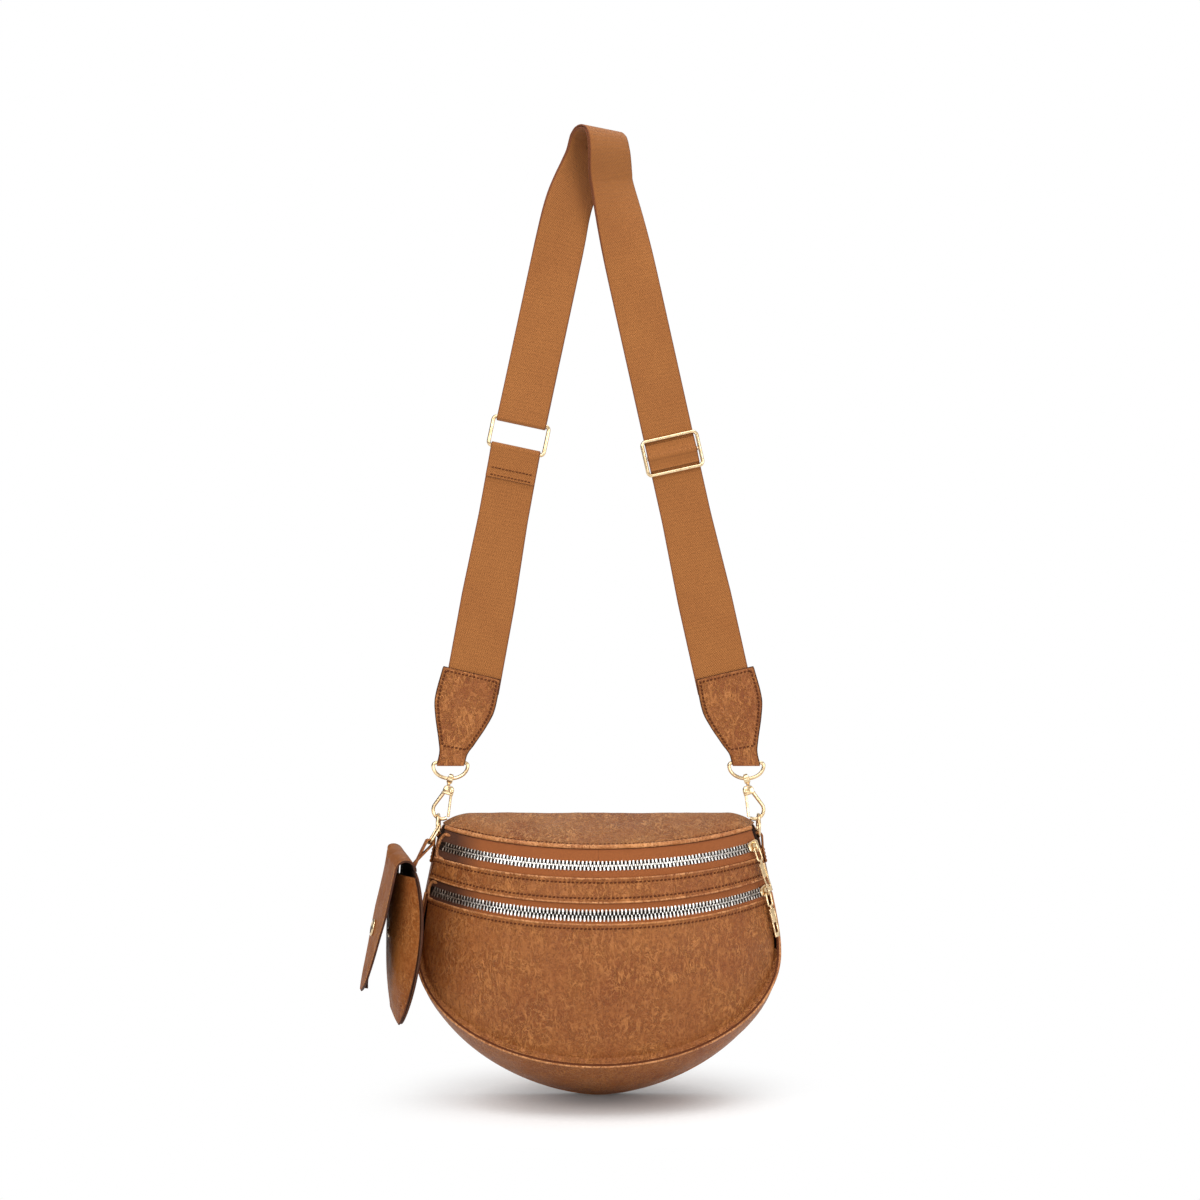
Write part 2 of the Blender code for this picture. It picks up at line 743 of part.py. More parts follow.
def side_ring(name, frame):
    rise = HOOK_WIRE + HOOK_SLACK + RING_WIRE
    centre = frame.grip + (rise - RING_RADIUS) * UP
    wire(name, circle(centre, BACK, UP, RING_RADIUS, 20), RING_WIRE, GOLD, RIGHT, closed=True, sides=6)
    return centre - RING_RADIUS * UP


def gusset_point(station, share):
    """Point on the gusset's outer face, from its front edge to its back edge."""
    middle = front_rail(station).lerp(back_rail(station, SKIN / 2 + GAP), share)
    bulge = GUSSET_BULGE * 4 * share * (1 - share)
    return middle + bulge * away_from_middle(middle).normalized()


def side_tab(name, frame, ring_foot):
    """Strip sewn on the gusset that turns over the foot of the side ring."""
    side = frame.side
    share = (SIDE_DEPTH - HOOK_DEPTH) / SIDE_DEPTH
    off = (SIDE_TAB_THICKNESS + GUSSET_BULGE) / 2
    points = []
    for height in spread(GUSSET_TOP - SIDE_TAB_LENGTH, GUSSET_TOP, 3):
        surface = gusset_point(("rise", height, side), share)
        points.append(Vector((surface.x + side * off, 0, surface.z)))
    reach = SIDE_TAB_EYE + SIDE_TAB_THICKNESS / 2
    for turn in spread(0, SIDE_TAB_TURN, 6):
        points.append(ring_foot + reach * (side * math.cos(turn) * RIGHT + math.sin(turn) * UP))
    sides = [BACK] * len(points)
    normals = [tangent.cross(BACK).normalized() for tangent in tangents(points, False)]
    ribbon(name, points, sides, normals, SIDE_TAB_WIDTH, SIDE_TAB_THICKNESS, LEATHER)


def swivel_eye(name, frame):
    centre = frame.tab_ring
    eye = wire(name, circle(centre, BACK, frame.up, EYE_RADIUS, 16), HOOK_WIRE, GOLD, frame.out,
               closed=True, sides=6, origin=centre)
    low = centre - (EYE_RADIUS + EYE_STEM / 2) * frame.up
    stem = block(name + "_stem", low, frame.axes(), (EYE_STEM, EYE_STEM, EYE_STEM), GOLD)
    join_onto(eye, [stem])


def hook_body_top(frame):
    return frame.length - EYE_RADIUS - EYE_STEM - GAP


def hook(name, frame):
    """Snap hook: a body under the swivel, a bent wire below it, and a seat for the gate."""
    top = hook_body_top(frame)
    body_low = top - HOOK_BODY_HEIGHT
    body = block(name, frame.point(-HOOK_SHIFT, top - HOOK_BODY_HEIGHT / 2), frame.axes(),
                 (HOOK_BODY_WIDTH, HOOK_BODY_HEIGHT, HOOK_BODY_THICKNESS), GOLD, frame.tab_ring)
    shoulder = -HOOK_SHIFT + HOOK_BODY_WIDTH / 2 - HOOK_WIRE
    route = [(shoulder, body_low + HOOK_WIRE), (shoulder, body_low - HOOK_WIRE),
             (HOOK_REACH, body_low / 2), (HOOK_REACH + HOOK_WIRE, body_low / 4),
             (HOOK_REACH, HOOK_WIRE), (HOOK_REACH - 2 * HOOK_WIRE, 0),
             (HOOK_WIRE - HOOK_GATE_REACH, 0), (-HOOK_GATE_REACH - HOOK_WIRE, HOOK_WIRE)]
    bend = wire(name + "_bend", [frame.point(out, up) for out, up in route], HOOK_WIRE, GOLD, BACK,
                sides=6)
    slot_top = body_low + HOOK_BODY_HEIGHT * GATE_SEAT_SHARE
    slot = block(name + "_slot", frame.point(gate_out(), (slot_top + body_low) / 2 - HOOK_WIRE),
                 frame.axes(), (HOOK_BODY_WIDTH, slot_top - body_low + 2 * HOOK_WIRE,
                                GATE_THICKNESS + 2 * GAP), GOLD)
    join_onto(body, [bend])
    cut_from(body, slot)
    return body_low, slot_top


def gate_out():
    return -HOOK_SHIFT - HOOK_BODY_WIDTH / 2 + GATE_WIDTH


def gate(name, frame, slot_top):
    """Sprung arm from the rivet down to the hook's open end."""
    high = frame.point(gate_out(), slot_top - GATE_WIDTH / 2 - 2 * GAP)
    low = frame.point(-HOOK_GATE_REACH - HOOK_WIRE, 2 * HOOK_WIRE + GATE_WIDTH / 2 + 2 * GAP)
    along = (high - low).normalized()
    across = BACK.cross(along).normalized()
    block(name, (high + low) / 2, (across, along, BACK),
          (GATE_WIDTH, (high - low).length + GATE_WIDTH / 2, GATE_THICKNESS), GOLD, high)
    return high


def rivet(name, centre):
    """Domed head of the gate's pin, on the front of the hook's body."""
    front = centre - (HOOK_BODY_THICKNESS / 2 + GAP) * BACK
    rings = [circle(front - RIVET_PROUD * BACK, RIGHT, UP, RIVET_RADIUS * RIVET_DOME_SHARE, 12),
             circle(front - RIVET_PROUD / 2 * BACK, RIGHT, UP, RIVET_RADIUS, 12),
             circle(front, RIGHT, UP, RIVET_RADIUS, 12)]
    return loft(name, rings, GOLD, centre)


def snap_hooks():
    for side, word in ((-1, "left"), (1, "right")):
        frame = HookFrame(side)
        foot = side_ring("side_ring_" + word, frame)
        side_tab("side_tab_" + word, frame, foot)
        swivel_eye("swivel_eye_" + word, frame)
        _, slot_top = hook("hook_" + word, frame)
        pivot = gate("gate_" + word, frame, slot_top)
        rivet("rivet_" + word, pivot)


# Strap

def strap_point(x, height, offset=0):
    return Vector((x, offset, height - STRAP_DROP))


def half_layers():
    return (WEB_THICKNESS + WEB_LAYER_GAP) / 2


def crown_arc():
    """Turn of the strap over its crown, in the upright plane square to the crown's ridge."""
    fall = RIGHT * math.sin(CROWN_YAW) - BACK * math.cos(CROWN_YAW)
    radius = CROWN_RADIUS + half_layers() + WEB_THICKNESS / 2
    centre = -CROWN_RADIUS * UP
    points, headings = [], []
    for turn in spread(CROWN_SWEEP, -CROWN_SWEEP, 6):
        points.append(centre + radius * (math.sin(turn) * fall + math.cos(turn) * UP))
        headings.append(math.cos(turn) * fall - math.sin(turn) * UP)
    return points, headings


def bend_between(start, start_heading, end, end_heading, steps):
    reach = (end - start).length / 3
    curve = geometry.interpolate_bezier(start, start + reach * start_heading,
                                        end - reach * end_heading, end, steps + 1)
    return [Vector(point) for point in curve]


def strap_base():
    """Middle line between the strap's two layers, from the right tab over the crown to the ring."""
    foot = strap_point(TAB_TOP_X, TAB_TOP_HEIGHT - TAB_OVERLAP, half_layers())
    right_knee = Vector((RIGHT_KNEE_X, half_layers(), -RIGHT_KNEE_DROP))
    left_knee = Vector((LEFT_KNEE_X, 0, -LEFT_KNEE_DROP))
    ring_bar = strap_point(BUCKLE_X, BUCKLE_HEIGHT) + ring_bar_reach() * buckle_up()
    arc, headings = crown_arc()
    rising = (right_knee - foot).normalized()
    falling = (ring_bar - left_knee).normalized()
    points = [foot.lerp(right_knee, share) for share in spread(0, 1, 12)]
    points += bend_between(right_knee, rising, arc[0], -headings[0], 5)[1:]
    points += arc[1:]
    points += bend_between(arc[-1], -headings[-1], left_knee, falling, 5)[1:]
    points += [left_knee.lerp(ring_bar, share) for share in spread(0, 1, 10)[1:]]
    return points


def buckle_up():
    left_knee = Vector((LEFT_KNEE_X, 0, -LEFT_KNEE_DROP))
    return (left_knee - strap_point(BUCKLE_X, BUCKLE_HEIGHT)).normalized()


def ring_bar_reach():
    return BUCKLE_INNER_HEIGHT / 2 + BUCKLE_WIRE


def strap_frames(points):
    """Width direction and outward normal at each point; the strap twists towards its crown."""
    sides, normals = [], []
    for point, tangent in zip(points, tangents(points, False)):
        share = min(max((-point.z - CROWN_RADIUS) / TWIST_LENGTH, 0), 1)
        yaw = CROWN_YAW * (1 - share * share * (3 - 2 * share))
        flat = RIGHT * math.cos(yaw) + BACK * math.sin(yaw)
        side = (flat - tangent * flat.dot(tangent)).normalized()
        sides.append(side)
        normals.append(side.cross(tangent).normalized())
    return sides, normals


def spread_at_ring(point):
    """Offset of a layer from the middle line, which opens round the ring's bar on the left."""
    ring_bar = strap_point(BUCKLE_X, BUCKLE_HEIGHT) + ring_bar_reach() * buckle_up()
    share = max(1 - (point - ring_bar).length / RING_OPENING_LENGTH, 0)
    return half_layers() + (wrap_radius(BUCKLE_WIRE) - half_layers()) * share


def wrap_radius(wire_radius):
    return wire_radius + GAP + WEB_THICKNESS / 2


def main_webbing():
    points = strap_base()
    sides, normals = strap_frames(points)
    outer = [point + spread_at_ring(point) * normal for point, normal in zip(points, normals)]
    ribbon("main_webbing", outer, sides, normals, WEB_WIDTH, WEB_THICKNESS, WEBBING)


def adjuster_place():
    """Middle of the adjuster on the right branch, with the strap's directions there."""
    points = strap_base()[:2]
    sides, normals = strap_frames(points)
    foot = strap_point(TAB_TOP_X, TAB_TOP_HEIGHT - TAB_OVERLAP)
    knee = Vector((RIGHT_KNEE_X, 0, -RIGHT_KNEE_DROP))
    up = (knee - foot).normalized()
    return foot.lerp(knee, ADJUSTER_SHARE), sides[0], up, normals[0]


def return_webbing():
    points = strap_base()
    sides, normals = strap_frames(points)
    adjuster, _, up, _ = adjuster_place()
    inner = [(point - spread_at_ring(point) * normal, side)
             for point, side, normal in zip(points, sides, normals)
             if point.x < adjuster.x or point.z > adjuster.z + ADJUSTER_INNER_HEIGHT]
    inner = [entry for entry in inner if entry[0].z > adjuster.z or entry[0].x < 0]
    bar, side, normal = points[-1], sides[-1], normals[-1]
    down = -buckle_up()
    reach = wrap_radius(BUCKLE_WIRE)
    for turn in spread(0, math.pi - GAP / reach, 6)[1:]:
        inner.append((bar + reach * (-math.cos(turn) * normal + math.sin(turn) * down), side))
    line = [point for point, _ in inner]
    line_sides = [entry_side for _, entry_side in inner]
    line_normals = [entry_side.cross(tangent).normalized()
                    for entry_side, tangent in zip(line_sides, tangents(line, False))]
    ribbon("return_webbing", line, line_sides, line_normals, WEB_WIDTH, WEB_THICKNESS, WEBBING)


def rect_ring():
    up = buckle_up()
    side = BACK.cross(up).normalized()
    centre = strap_point(BUCKLE_X, BUCKLE_HEIGHT)
    points = loop_points(centre, side, up, BUCKLE_INNER_WIDTH / 2 + BUCKLE_WIRE,
                         ring_bar_reach(), BUCKLE_WIRE * 2, 3)
    wire("rect_ring", points, BUCKLE_WIRE, GOLD, BACK, closed=True, sides=8)


def short_webbing():
    """Webbing from the left tab up round the ring's lower bar, and down again to its stitching."""
    up = buckle_up()
    side = BACK.cross(up).normalized()
    bar = strap_point(BUCKLE_X, BUCKLE_HEIGHT) - ring_bar_reach() * up
    foot = strap_point(-TAB_TOP_X, TAB_TOP_HEIGHT - TAB_OVERLAP)
    line_up = (bar - foot).normalized()
    reach = wrap_radius(BUCKLE_WIRE)
    apart = half_layers()
    points = [foot, foot.lerp(bar, 0.5), bar - FOLD_LENGTH * line_up,
              bar - FOLD_LENGTH / 2 * line_up + apart * BACK]
    for turn in spread(-math.pi / 8, math.pi * 9 / 8, 8):
        points.append(bar + reach * (math.cos(turn) * BACK + math.sin(turn) * line_up))
    points.append(bar - FOLD_LENGTH / 2 * line_up - apart * BACK)
    points.append(bar - FOLD_LENGTH * line_up - 2 * apart * BACK)
    sides = [side] * len(points)
    normals = [side.cross(tangent).normalized() for tangent in tangents(points, False)]
    ribbon("short_webbing", points, sides, normals, WEB_WIDTH, WEB_THICKNESS, WEBBING)


def adjuster():
    """Wire slide adjuster on the right branch, its centre bar and the webbing over that bar."""
    centre, side, up, normal = adjuster_place()
    lift = WEB_THICKNESS / 2 + GAP + ADJUSTER_WIRE
    middle = centre + lift * normal
    points = loop_points(middle, side, up, ADJUSTER_INNER_WIDTH / 2 + ADJUSTER_WIRE,
                         ADJUSTER_INNER_HEIGHT / 2 + ADJUSTER_WIRE, ADJUSTER_WIRE * 2.5, 3)
    wire("adjuster_frame", points, ADJUSTER_WIRE, GOLD, normal, closed=True, sides=8, origin=centre)
    half_bar = (ADJUSTER_INNER_WIDTH / 2 - GAP) * side
    wire("adjuster_bar", [middle - half_bar, middle, middle + half_bar], ADJUSTER_BAR_RADIUS, GOLD,
         normal, sides=8, origin=centre)
    reach = wrap_radius(ADJUSTER_BAR_RADIUS)
    low = (WEB_THICKNESS + GAP * 2) * normal
    line = [centre + BAR_LOOP_LENGTH / 2 * up + low, centre + BAR_LOOP_LENGTH / 3 * up + low]
    for turn in spread(BAR_LOOP_TURN, math.pi - BAR_LOOP_TURN, 5):
        line.append(middle + reach * (-math.cos(turn) * up + math.sin(turn) * normal))
    line += [centre - BAR_LOOP_LENGTH / 3 * up + low, centre - BAR_LOOP_LENGTH / 2 * up + low]
    sides = [side] * len(line)
    normals = [side.cross(tangent).normalized() for tangent in tangents(line, False)]
    ribbon("bar_webbing", line, sides, normals, WEB_WIDTH, WEB_THICKNESS, WEBBING, centre)


def tab_ring(name, side):
    """D ring whose straight bar lies in the fold of the strap tab."""
    foot = place(side * TAB_BOTTOM_X, HOOK_DEPTH, TAB_RING_FOOT)
    bar = foot + TAB_RING_DROP * UP
    corner = TAB_RING_WIRE * 2
    bow = TAB_RING_DROP - corner
    points = []
    for sign, first, second in ((1, math.pi / 2, 0), (-1, 0, math.pi / 2)):
        middle = bar + sign * (TAB_RING_HALF_WIDTH - corner) * RIGHT - corner * UP
        for turn in spread(first, second, 3):
            points.append(middle + corner * (sign * math.cos(turn) * RIGHT + math.sin(turn) * UP))
        if sign > 0:
            for turn in spread(0, -math.pi, 12)[1:-1]:
                points.append(bar - corner * UP + TAB_RING_HALF_WIDTH * math.cos(turn) * RIGHT
                              + bow * math.sin(turn) * UP)
    wire(name, points, TAB_RING_WIRE, GOLD, BACK, closed=True, sides=8, origin=bar)
    return bar


def strap_tab(name, side, bar):
    """Stitched tab that grips the webbing at its top and folds round the D ring at its foot."""
    top = strap_point(side * TAB_TOP_X, TAB_TOP_HEIGHT)
    foot = bar - TAB_THICKNESS / 2 * UP
    lean = (foot - top).normalized()
    across = BACK.cross(lean).normalized()
    if across.x < 0:
        across.negate()
    left, right = [], []
    for down_share, width_share in TAB_SHAPE_SHARES:
        level = max((down_share - TAB_TURN_SHARE) / (1 - TAB_TURN_SHARE), 0)
        direction = across.lerp(RIGHT, level).normalized()
        middle = top.lerp(foot, down_share)
        left.append(middle - TAB_WIDTH / 2 * width_share * direction)
        right.append(middle + TAB_WIDTH / 2 * width_share * direction)
    outline = left + right[::-1]
    half = TAB_THICKNESS / 2 * BACK
    tab = loft(name, [[point - half for point in outline], [point + half for point in outline]], LEATHER)
    bore = wire(name + "_bore", [bar - TAB_WIDTH * RIGHT, bar + TAB_WIDTH * RIGHT],
                TAB_RING_WIRE + GAP, GOLD, UP, sides=12)
    web_foot = strap_point(side * TAB_TOP_X, TAB_TOP_HEIGHT - TAB_OVERLAP)
    web_up = (strap_point(side * TAB_TOP_X, TAB_TOP_HEIGHT) - strap_point(side * TAB_BOTTOM_X,
                                                                         TAB_BOTTOM_HEIGHT)).normalized()
    web_across = BACK.cross(web_up).normalized()
    pocket = block(name + "_pocket", web_foot + TAB_OVERLAP / 2 * web_up, (web_across, web_up, BACK),
                   (WEB_WIDTH + TAB_POCKET_SLACK, TAB_OVERLAP + TAB_POCKET_SLACK * 2,
                    WEB_THICKNESS + GAP * 2), GOLD)
    cut_from(tab, bore)
    cut_from(tab, pocket)


def strap():
    main_webbing()
    return_webbing()
    rect_ring()
    short_webbing()
    adjuster()
    for side, word in ((-1, "left"), (1, "right")):
        bar = tab_ring("tab_ring_" + word, side)
        strap_tab("strap_tab_" + word, side, bar)


# Pouch

class PouchFrame:
    """Directions of the hanging pouch: across its width, down its back and out of its front."""

    def __init__(self):
        lean = -math.sin(POUCH_LEAN) * RIGHT - math.cos(POUCH_LEAN) * UP
        self.across = math.sin(POUCH_YAW) * RIGHT - math.cos(POUCH_YAW) * BACK
        self.down = (lean - self.across * lean.dot(self.across)).normalized()
        self.out = self.down.cross(self.across).normalized()
        self.top = place(POUCH_TOP_X, POUCH_TOP_DEPTH, POUCH_TOP_HEIGHT)
        self.flap_down = math.cos(FLAP_ANGLE) * self.down + math.sin(FLAP_ANGLE) * self.out
        self.flap_out = math.cos(FLAP_ANGLE) * self.out - math.sin(FLAP_ANGLE) * self.down

    def point(self, across, down, out):
        return self.top + across * self.across + down * self.down + out * self.out

    def fold_point(self, turn):
        """Point on the outer face of the flap's fold, from the back's top edge over to the flap."""
        middle = self.point(0, -2 * GAP, FLAP_FOLD - POUCH_LEATHER)
        return middle - FLAP_FOLD * (math.cos(turn) * self.out + math.sin(turn) * self.down)

    def flap_point(self, run):
        return self.fold_point(math.pi - FLAP_ANGLE) + run * self.flap_down


def pouch_half_width(drop):
    share = max((drop - POUCH_HEIGHT + POUCH_CORNER_HEIGHT) / POUCH_CORNER_HEIGHT, 0)
    rounding = math.sqrt(max(1 - share * share, 0))
    return (POUCH_FOOT_WIDTH + (POUCH_WIDTH - POUCH_FOOT_WIDTH) * rounding) / 2


def pouch_drops():
    straight = POUCH_HEIGHT - POUCH_CORNER_HEIGHT
    return spread(0, straight, 5) + spread(straight, POUCH_HEIGHT, 5)[1:]


def pouch_front_point(frame, across_share, drop):
    full = 1 - (drop / POUCH_HEIGHT) ** 3
    dome = POUCH_DEPTH * full * (1 - across_share ** 4)
    return frame.point(across_share * pouch_half_width(drop), drop, GAP + POUCH_LEATHER + dome)


def flap_half_width(share):
    straight = max((share - FLAP_TAPER_SHARE) / (1 - FLAP_TAPER_SHARE), 0)
    half = (POUCH_WIDTH + (FLAP_TIP_WIDTH - POUCH_WIDTH) * straight) / 2
    tip = max((share - FLAP_ROUND_SHARE) / (1 - FLAP_ROUND_SHARE), 0)
    return half * math.sqrt(max(1 - tip * tip, FLAP_END_SHARE))


def pouch_flap(frame):
    fold = [(frame.fold_point(turn), POUCH_WIDTH / 2)
            for turn in spread(0, math.pi - FLAP_ANGLE, 7)]
    shares = spread(0, FLAP_ROUND_SHARE, 6)[1:] + spread(FLAP_ROUND_SHARE, 1, 5)[1:]
    fold += [(frame.flap_point(share * FLAP_LENGTH), flap_half_width(share)) for share in shares]
    rows = [[middle + half * share * frame.across for share in spread(-1, 1, 5)]
            for middle, half in fold]
    pivot = frame.point(0, -GAP / 2, -POUCH_LEATHER)
    sheet("pouch_flap", rows, POUCH_LEATHER, lambda point: frame.out, LEATHER, pivot)
    middle = frame.flap_point(SNAP_DROP) + GAP * frame.flap_out
    rings = [circle(middle + lift * frame.flap_out, frame.across, frame.flap_down, radius, 14)
             for lift, radius in ((0, SNAP_RADIUS), (SNAP_HEIGHT / 2, SNAP_RADIUS),
                                  (SNAP_HEIGHT, SNAP_RADIUS * RIVET_DOME_SHARE))]
    loft("snap_cap", rings, GOLD, pivot)


def pouch_body(frame, hang):
    back_rows = [[frame.point(share * pouch_half_width(drop), drop, -POUCH_LEATHER)
                  for share in spread(-1, 1, 5)] for drop in pouch_drops()]
    sheet("pouch_back", back_rows, POUCH_LEATHER, lambda point: -frame.out, LEATHER, hang)
    front_rows = [[pouch_front_point(frame, share, drop) for share in spread(-1, 1, 9)]
                  for drop in [POUCH_MOUTH_DROP] + pouch_drops()[1:]]
    sheet("pouch_front", front_rows, POUCH_LEATHER, lambda point: frame.out, LEATHER, hang)
    slope = pouch_front_point(frame, 0, SNAP_DROP + SNAP_RADIUS) - pouch_front_point(frame, 0, SNAP_DROP)
    out = slope.cross(frame.across).normalized()
    foot = pouch_front_point(frame, 0, SNAP_DROP) + GAP * out
    down = slope.normalized()
    rings = [circle(foot, frame.across, down, SNAP_STUD_RADIUS, 12),
             circle(foot + SNAP_HEIGHT / 2 * out, frame.across, down, SNAP_STUD_RADIUS, 12)]
    loft("snap_stud", rings, GOLD, hang)


def pouch_hanger(frame):
    """Wire link on the side ring and the leather loop that hangs the pouch on it."""
    hook_frame = HookFrame(-1)
    ring = hook_frame.grip + (HOOK_WIRE + HOOK_SLACK + RING_WIRE - RING_RADIUS) * UP
    hold = ring - RING_RADIUS * (math.cos(LINK_HOLD_ANGLE) * BACK + math.sin(LINK_HOLD_ANGLE) * UP)
    target = frame.point(0, 0, -POUCH_LEATHER - LOOP_REACH)
    along = (target - hold).normalized()
    facing = (frame.across - along * along.dot(frame.across)).normalized()
    across = along.cross(facing).normalized()
    seat = (RING_WIRE + LINK_WIRE) * LINK_SEAT_SHARE + GAP
    middle = hold + (CHAIN_LINK_LENGTH / 2 - seat) * along
    points = loop_points(middle, facing, along, CHAIN_LINK_WIDTH / 2, CHAIN_LINK_LENGTH / 2,
                         CHAIN_LINK_WIDTH / 3, 3)
    wire("pouch_link", points, LINK_WIRE, GOLD, across, closed=True, sides=6, origin=hold)
    hang = middle + CHAIN_LINK_LENGTH / 2 * along
    reach = LINK_WIRE + GAP * 3 + POUCH_LEATHER / 2
    back = -POUCH_LEATHER * 1.5 - GAP
    line = [frame.point(0, POUCH_LOOP_LENGTH, back), frame.point(0, POUCH_LOOP_LENGTH / 4, back)]
    for turn in spread(-math.pi / 2, math.pi / 2, 5):
        line.append(hang + reach * (math.sin(turn) * across - math.cos(turn) * along))
    line.append(frame.point(0, POUCH_LOOP_LENGTH / 4, back - POUCH_LEATHER - GAP * 3))
    line.append(frame.point(0, POUCH_LOOP_LENGTH, back - POUCH_LEATHER - GAP * 3))
    sides = [frame.across] * 2 + [facing] * (len(line) - 4) + [frame.across] * 2
    normals = [side.cross(tangent).normalized() for side, tangent in zip(sides, tangents(line, False))]
    ribbon("pouch_loop", line, sides, normals, POUCH_LOOP_WIDTH, POUCH_LEATHER, LEATHER, hang)
    return hang


def pouch():
    frame = PouchFrame()
    hang = pouch_hanger(frame)
    pouch_body(frame, hang)
    pouch_flap(frame)


clear_scene()
bag()
zip_hardware()
snap_hooks()
strap()
pouch()
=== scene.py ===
"""Half moon crossbody bag: the visual model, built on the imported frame.

Metres, +Z up, +X right, the front faces -Y, and the origin is at the strap's crown. The shape
values and functions repeat those of the frame, so that each piece lies where its solid is.
"""
import json
import math

import bmesh
import bpy
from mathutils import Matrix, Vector, geometry, noise

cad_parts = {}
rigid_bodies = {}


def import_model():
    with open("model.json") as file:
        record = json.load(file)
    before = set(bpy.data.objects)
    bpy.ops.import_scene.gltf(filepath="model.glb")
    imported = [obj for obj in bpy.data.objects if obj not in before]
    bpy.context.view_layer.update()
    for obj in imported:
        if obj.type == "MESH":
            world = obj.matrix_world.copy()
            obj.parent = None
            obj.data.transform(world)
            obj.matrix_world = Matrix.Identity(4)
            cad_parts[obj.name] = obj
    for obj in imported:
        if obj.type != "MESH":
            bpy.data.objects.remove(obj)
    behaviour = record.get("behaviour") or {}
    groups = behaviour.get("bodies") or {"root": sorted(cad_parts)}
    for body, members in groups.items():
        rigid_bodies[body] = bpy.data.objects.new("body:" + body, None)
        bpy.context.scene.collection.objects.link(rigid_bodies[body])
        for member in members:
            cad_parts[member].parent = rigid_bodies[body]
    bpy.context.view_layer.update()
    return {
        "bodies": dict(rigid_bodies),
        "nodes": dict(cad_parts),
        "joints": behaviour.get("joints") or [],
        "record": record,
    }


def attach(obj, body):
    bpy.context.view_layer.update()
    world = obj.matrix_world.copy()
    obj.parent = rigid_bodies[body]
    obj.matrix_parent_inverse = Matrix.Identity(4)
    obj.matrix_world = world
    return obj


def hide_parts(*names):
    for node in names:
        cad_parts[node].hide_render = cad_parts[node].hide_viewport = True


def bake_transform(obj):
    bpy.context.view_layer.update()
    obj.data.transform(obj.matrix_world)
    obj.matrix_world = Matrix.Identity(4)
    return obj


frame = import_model()

# Materials

WHITE = (1, 1, 1, 1)
PATCH_SCALE = 21
CRACKLE_SCALE = 225
CROSSING_SCALE = 290
WEAR_SCALE = 55
SHEEN_SCALE = 60
PEBBLE_SCALE = 560
# Gains of the pale tint on the leather's crackle and pebble tops (partly rub, partly painted highlight), and
# share of the painted shade in the pebbles' hollows
RUB_AND_HIGHLIGHT_GAINS = (1.85, 2.25, 3.2)
PAINTED_SHADE_SHARE = 0.55
FLECK_SCALE = 900
DRIFT_SCALE = 24
FLECK_GAIN = 1.5
SELVEDGE_START = 0.0011
SELVEDGE_END = 0.0002
TARNISH_SCALE = 260
SCRATCH_SCALE = 2600
TWIST_SCALE = 900.0
RUB_SCALE = 180
DULL = 0.12


def feed(tree, node, inputs):
    """Gives inputs their values from (name, value) pairs; a value may be another node's socket."""
    for name, value in inputs:
        if isinstance(value, bpy.types.NodeSocket):
            tree.links.new(value, node.inputs[name])
        else:
            node.inputs[name].default_value = value


def add_node(tree, kind, inputs=(), **settings):
    node = tree.nodes.new(kind)
    for name, value in settings.items():
        setattr(node, name, value)
    feed(tree, node, inputs)
    return node


def blank(name):
    """New material, its node tree and its shader."""
    material = bpy.data.materials.new(name)
    material.use_nodes = True
    return material, material.node_tree, material.node_tree.nodes["Principled BSDF"]


def plain_coords(tree, source="Object"):
    return add_node(tree, "ShaderNodeTexCoord").outputs[source]


def split_coords(tree, source="Object"):
    return add_node(tree, "ShaderNodeSeparateXYZ", [("Vector", plain_coords(tree, source))]).outputs


def scaled_coords(tree, scale, turn=0.0):
    return add_node(tree, "ShaderNodeMapping", [("Vector", plain_coords(tree)), ("Scale", scale),
                                                ("Rotation", (0, 0, turn))]).outputs["Vector"]


def cloud(tree, vector, scale, detail, roughness=0.55, distortion=0.0):
    return add_node(tree, "ShaderNodeTexNoise",
                    [("Vector", vector), ("Scale", scale), ("Detail", detail),
                     ("Roughness", roughness), ("Distortion", distortion)]).outputs["Fac"]


def ramp(tree, value, low, high, to_low=0.0, to_high=1.0):
    return add_node(tree, "ShaderNodeMapRange",
                    [("Value", value), ("From Min", low), ("From Max", high),
                     ("To Min", to_low), ("To Max", to_high)]).outputs["Result"]


def maths(tree, operation, first, second=0.0):
    return add_node(tree, "ShaderNodeMath", [(0, first), (1, second)], operation=operation).outputs[0]


def times(tree, first, second):
    return maths(tree, "MULTIPLY", first, second)


def plus(tree, first, second):
    return maths(tree, "ADD", first, second)


def blend_colours(tree, share, first, second):
    return add_node(tree, "ShaderNodeMix", [(0, share), (6, first), (7, second)],
                    data_type="RGBA").outputs[2]


def layered(tree, base, layers):
    """Base colour with tints laid over it, each by its own share."""
    for share, tint in layers:
        base = blend_colours(tree, share, base, tint)
    return base


def bump(tree, shader, height, distance, strength=1.0):
    node = add_node(tree, "ShaderNodeBump", [("Height", height), ("Distance", distance),
                                             ("Strength", strength)])
    feed(tree, shader, [("Normal", node.outputs["Normal"])])


def ridges(tree, vector, scale, width, distortion):
    """Thin worm-like lines where a noise crosses its middle value."""
    field = cloud(tree, vector, scale, 2.2, 0.5, distortion)
    off = maths(tree, "ABSOLUTE", maths(tree, "SUBTRACT", field, 0.5))
    return ramp(tree, off, 0.0, width, 1.0, 0.0)


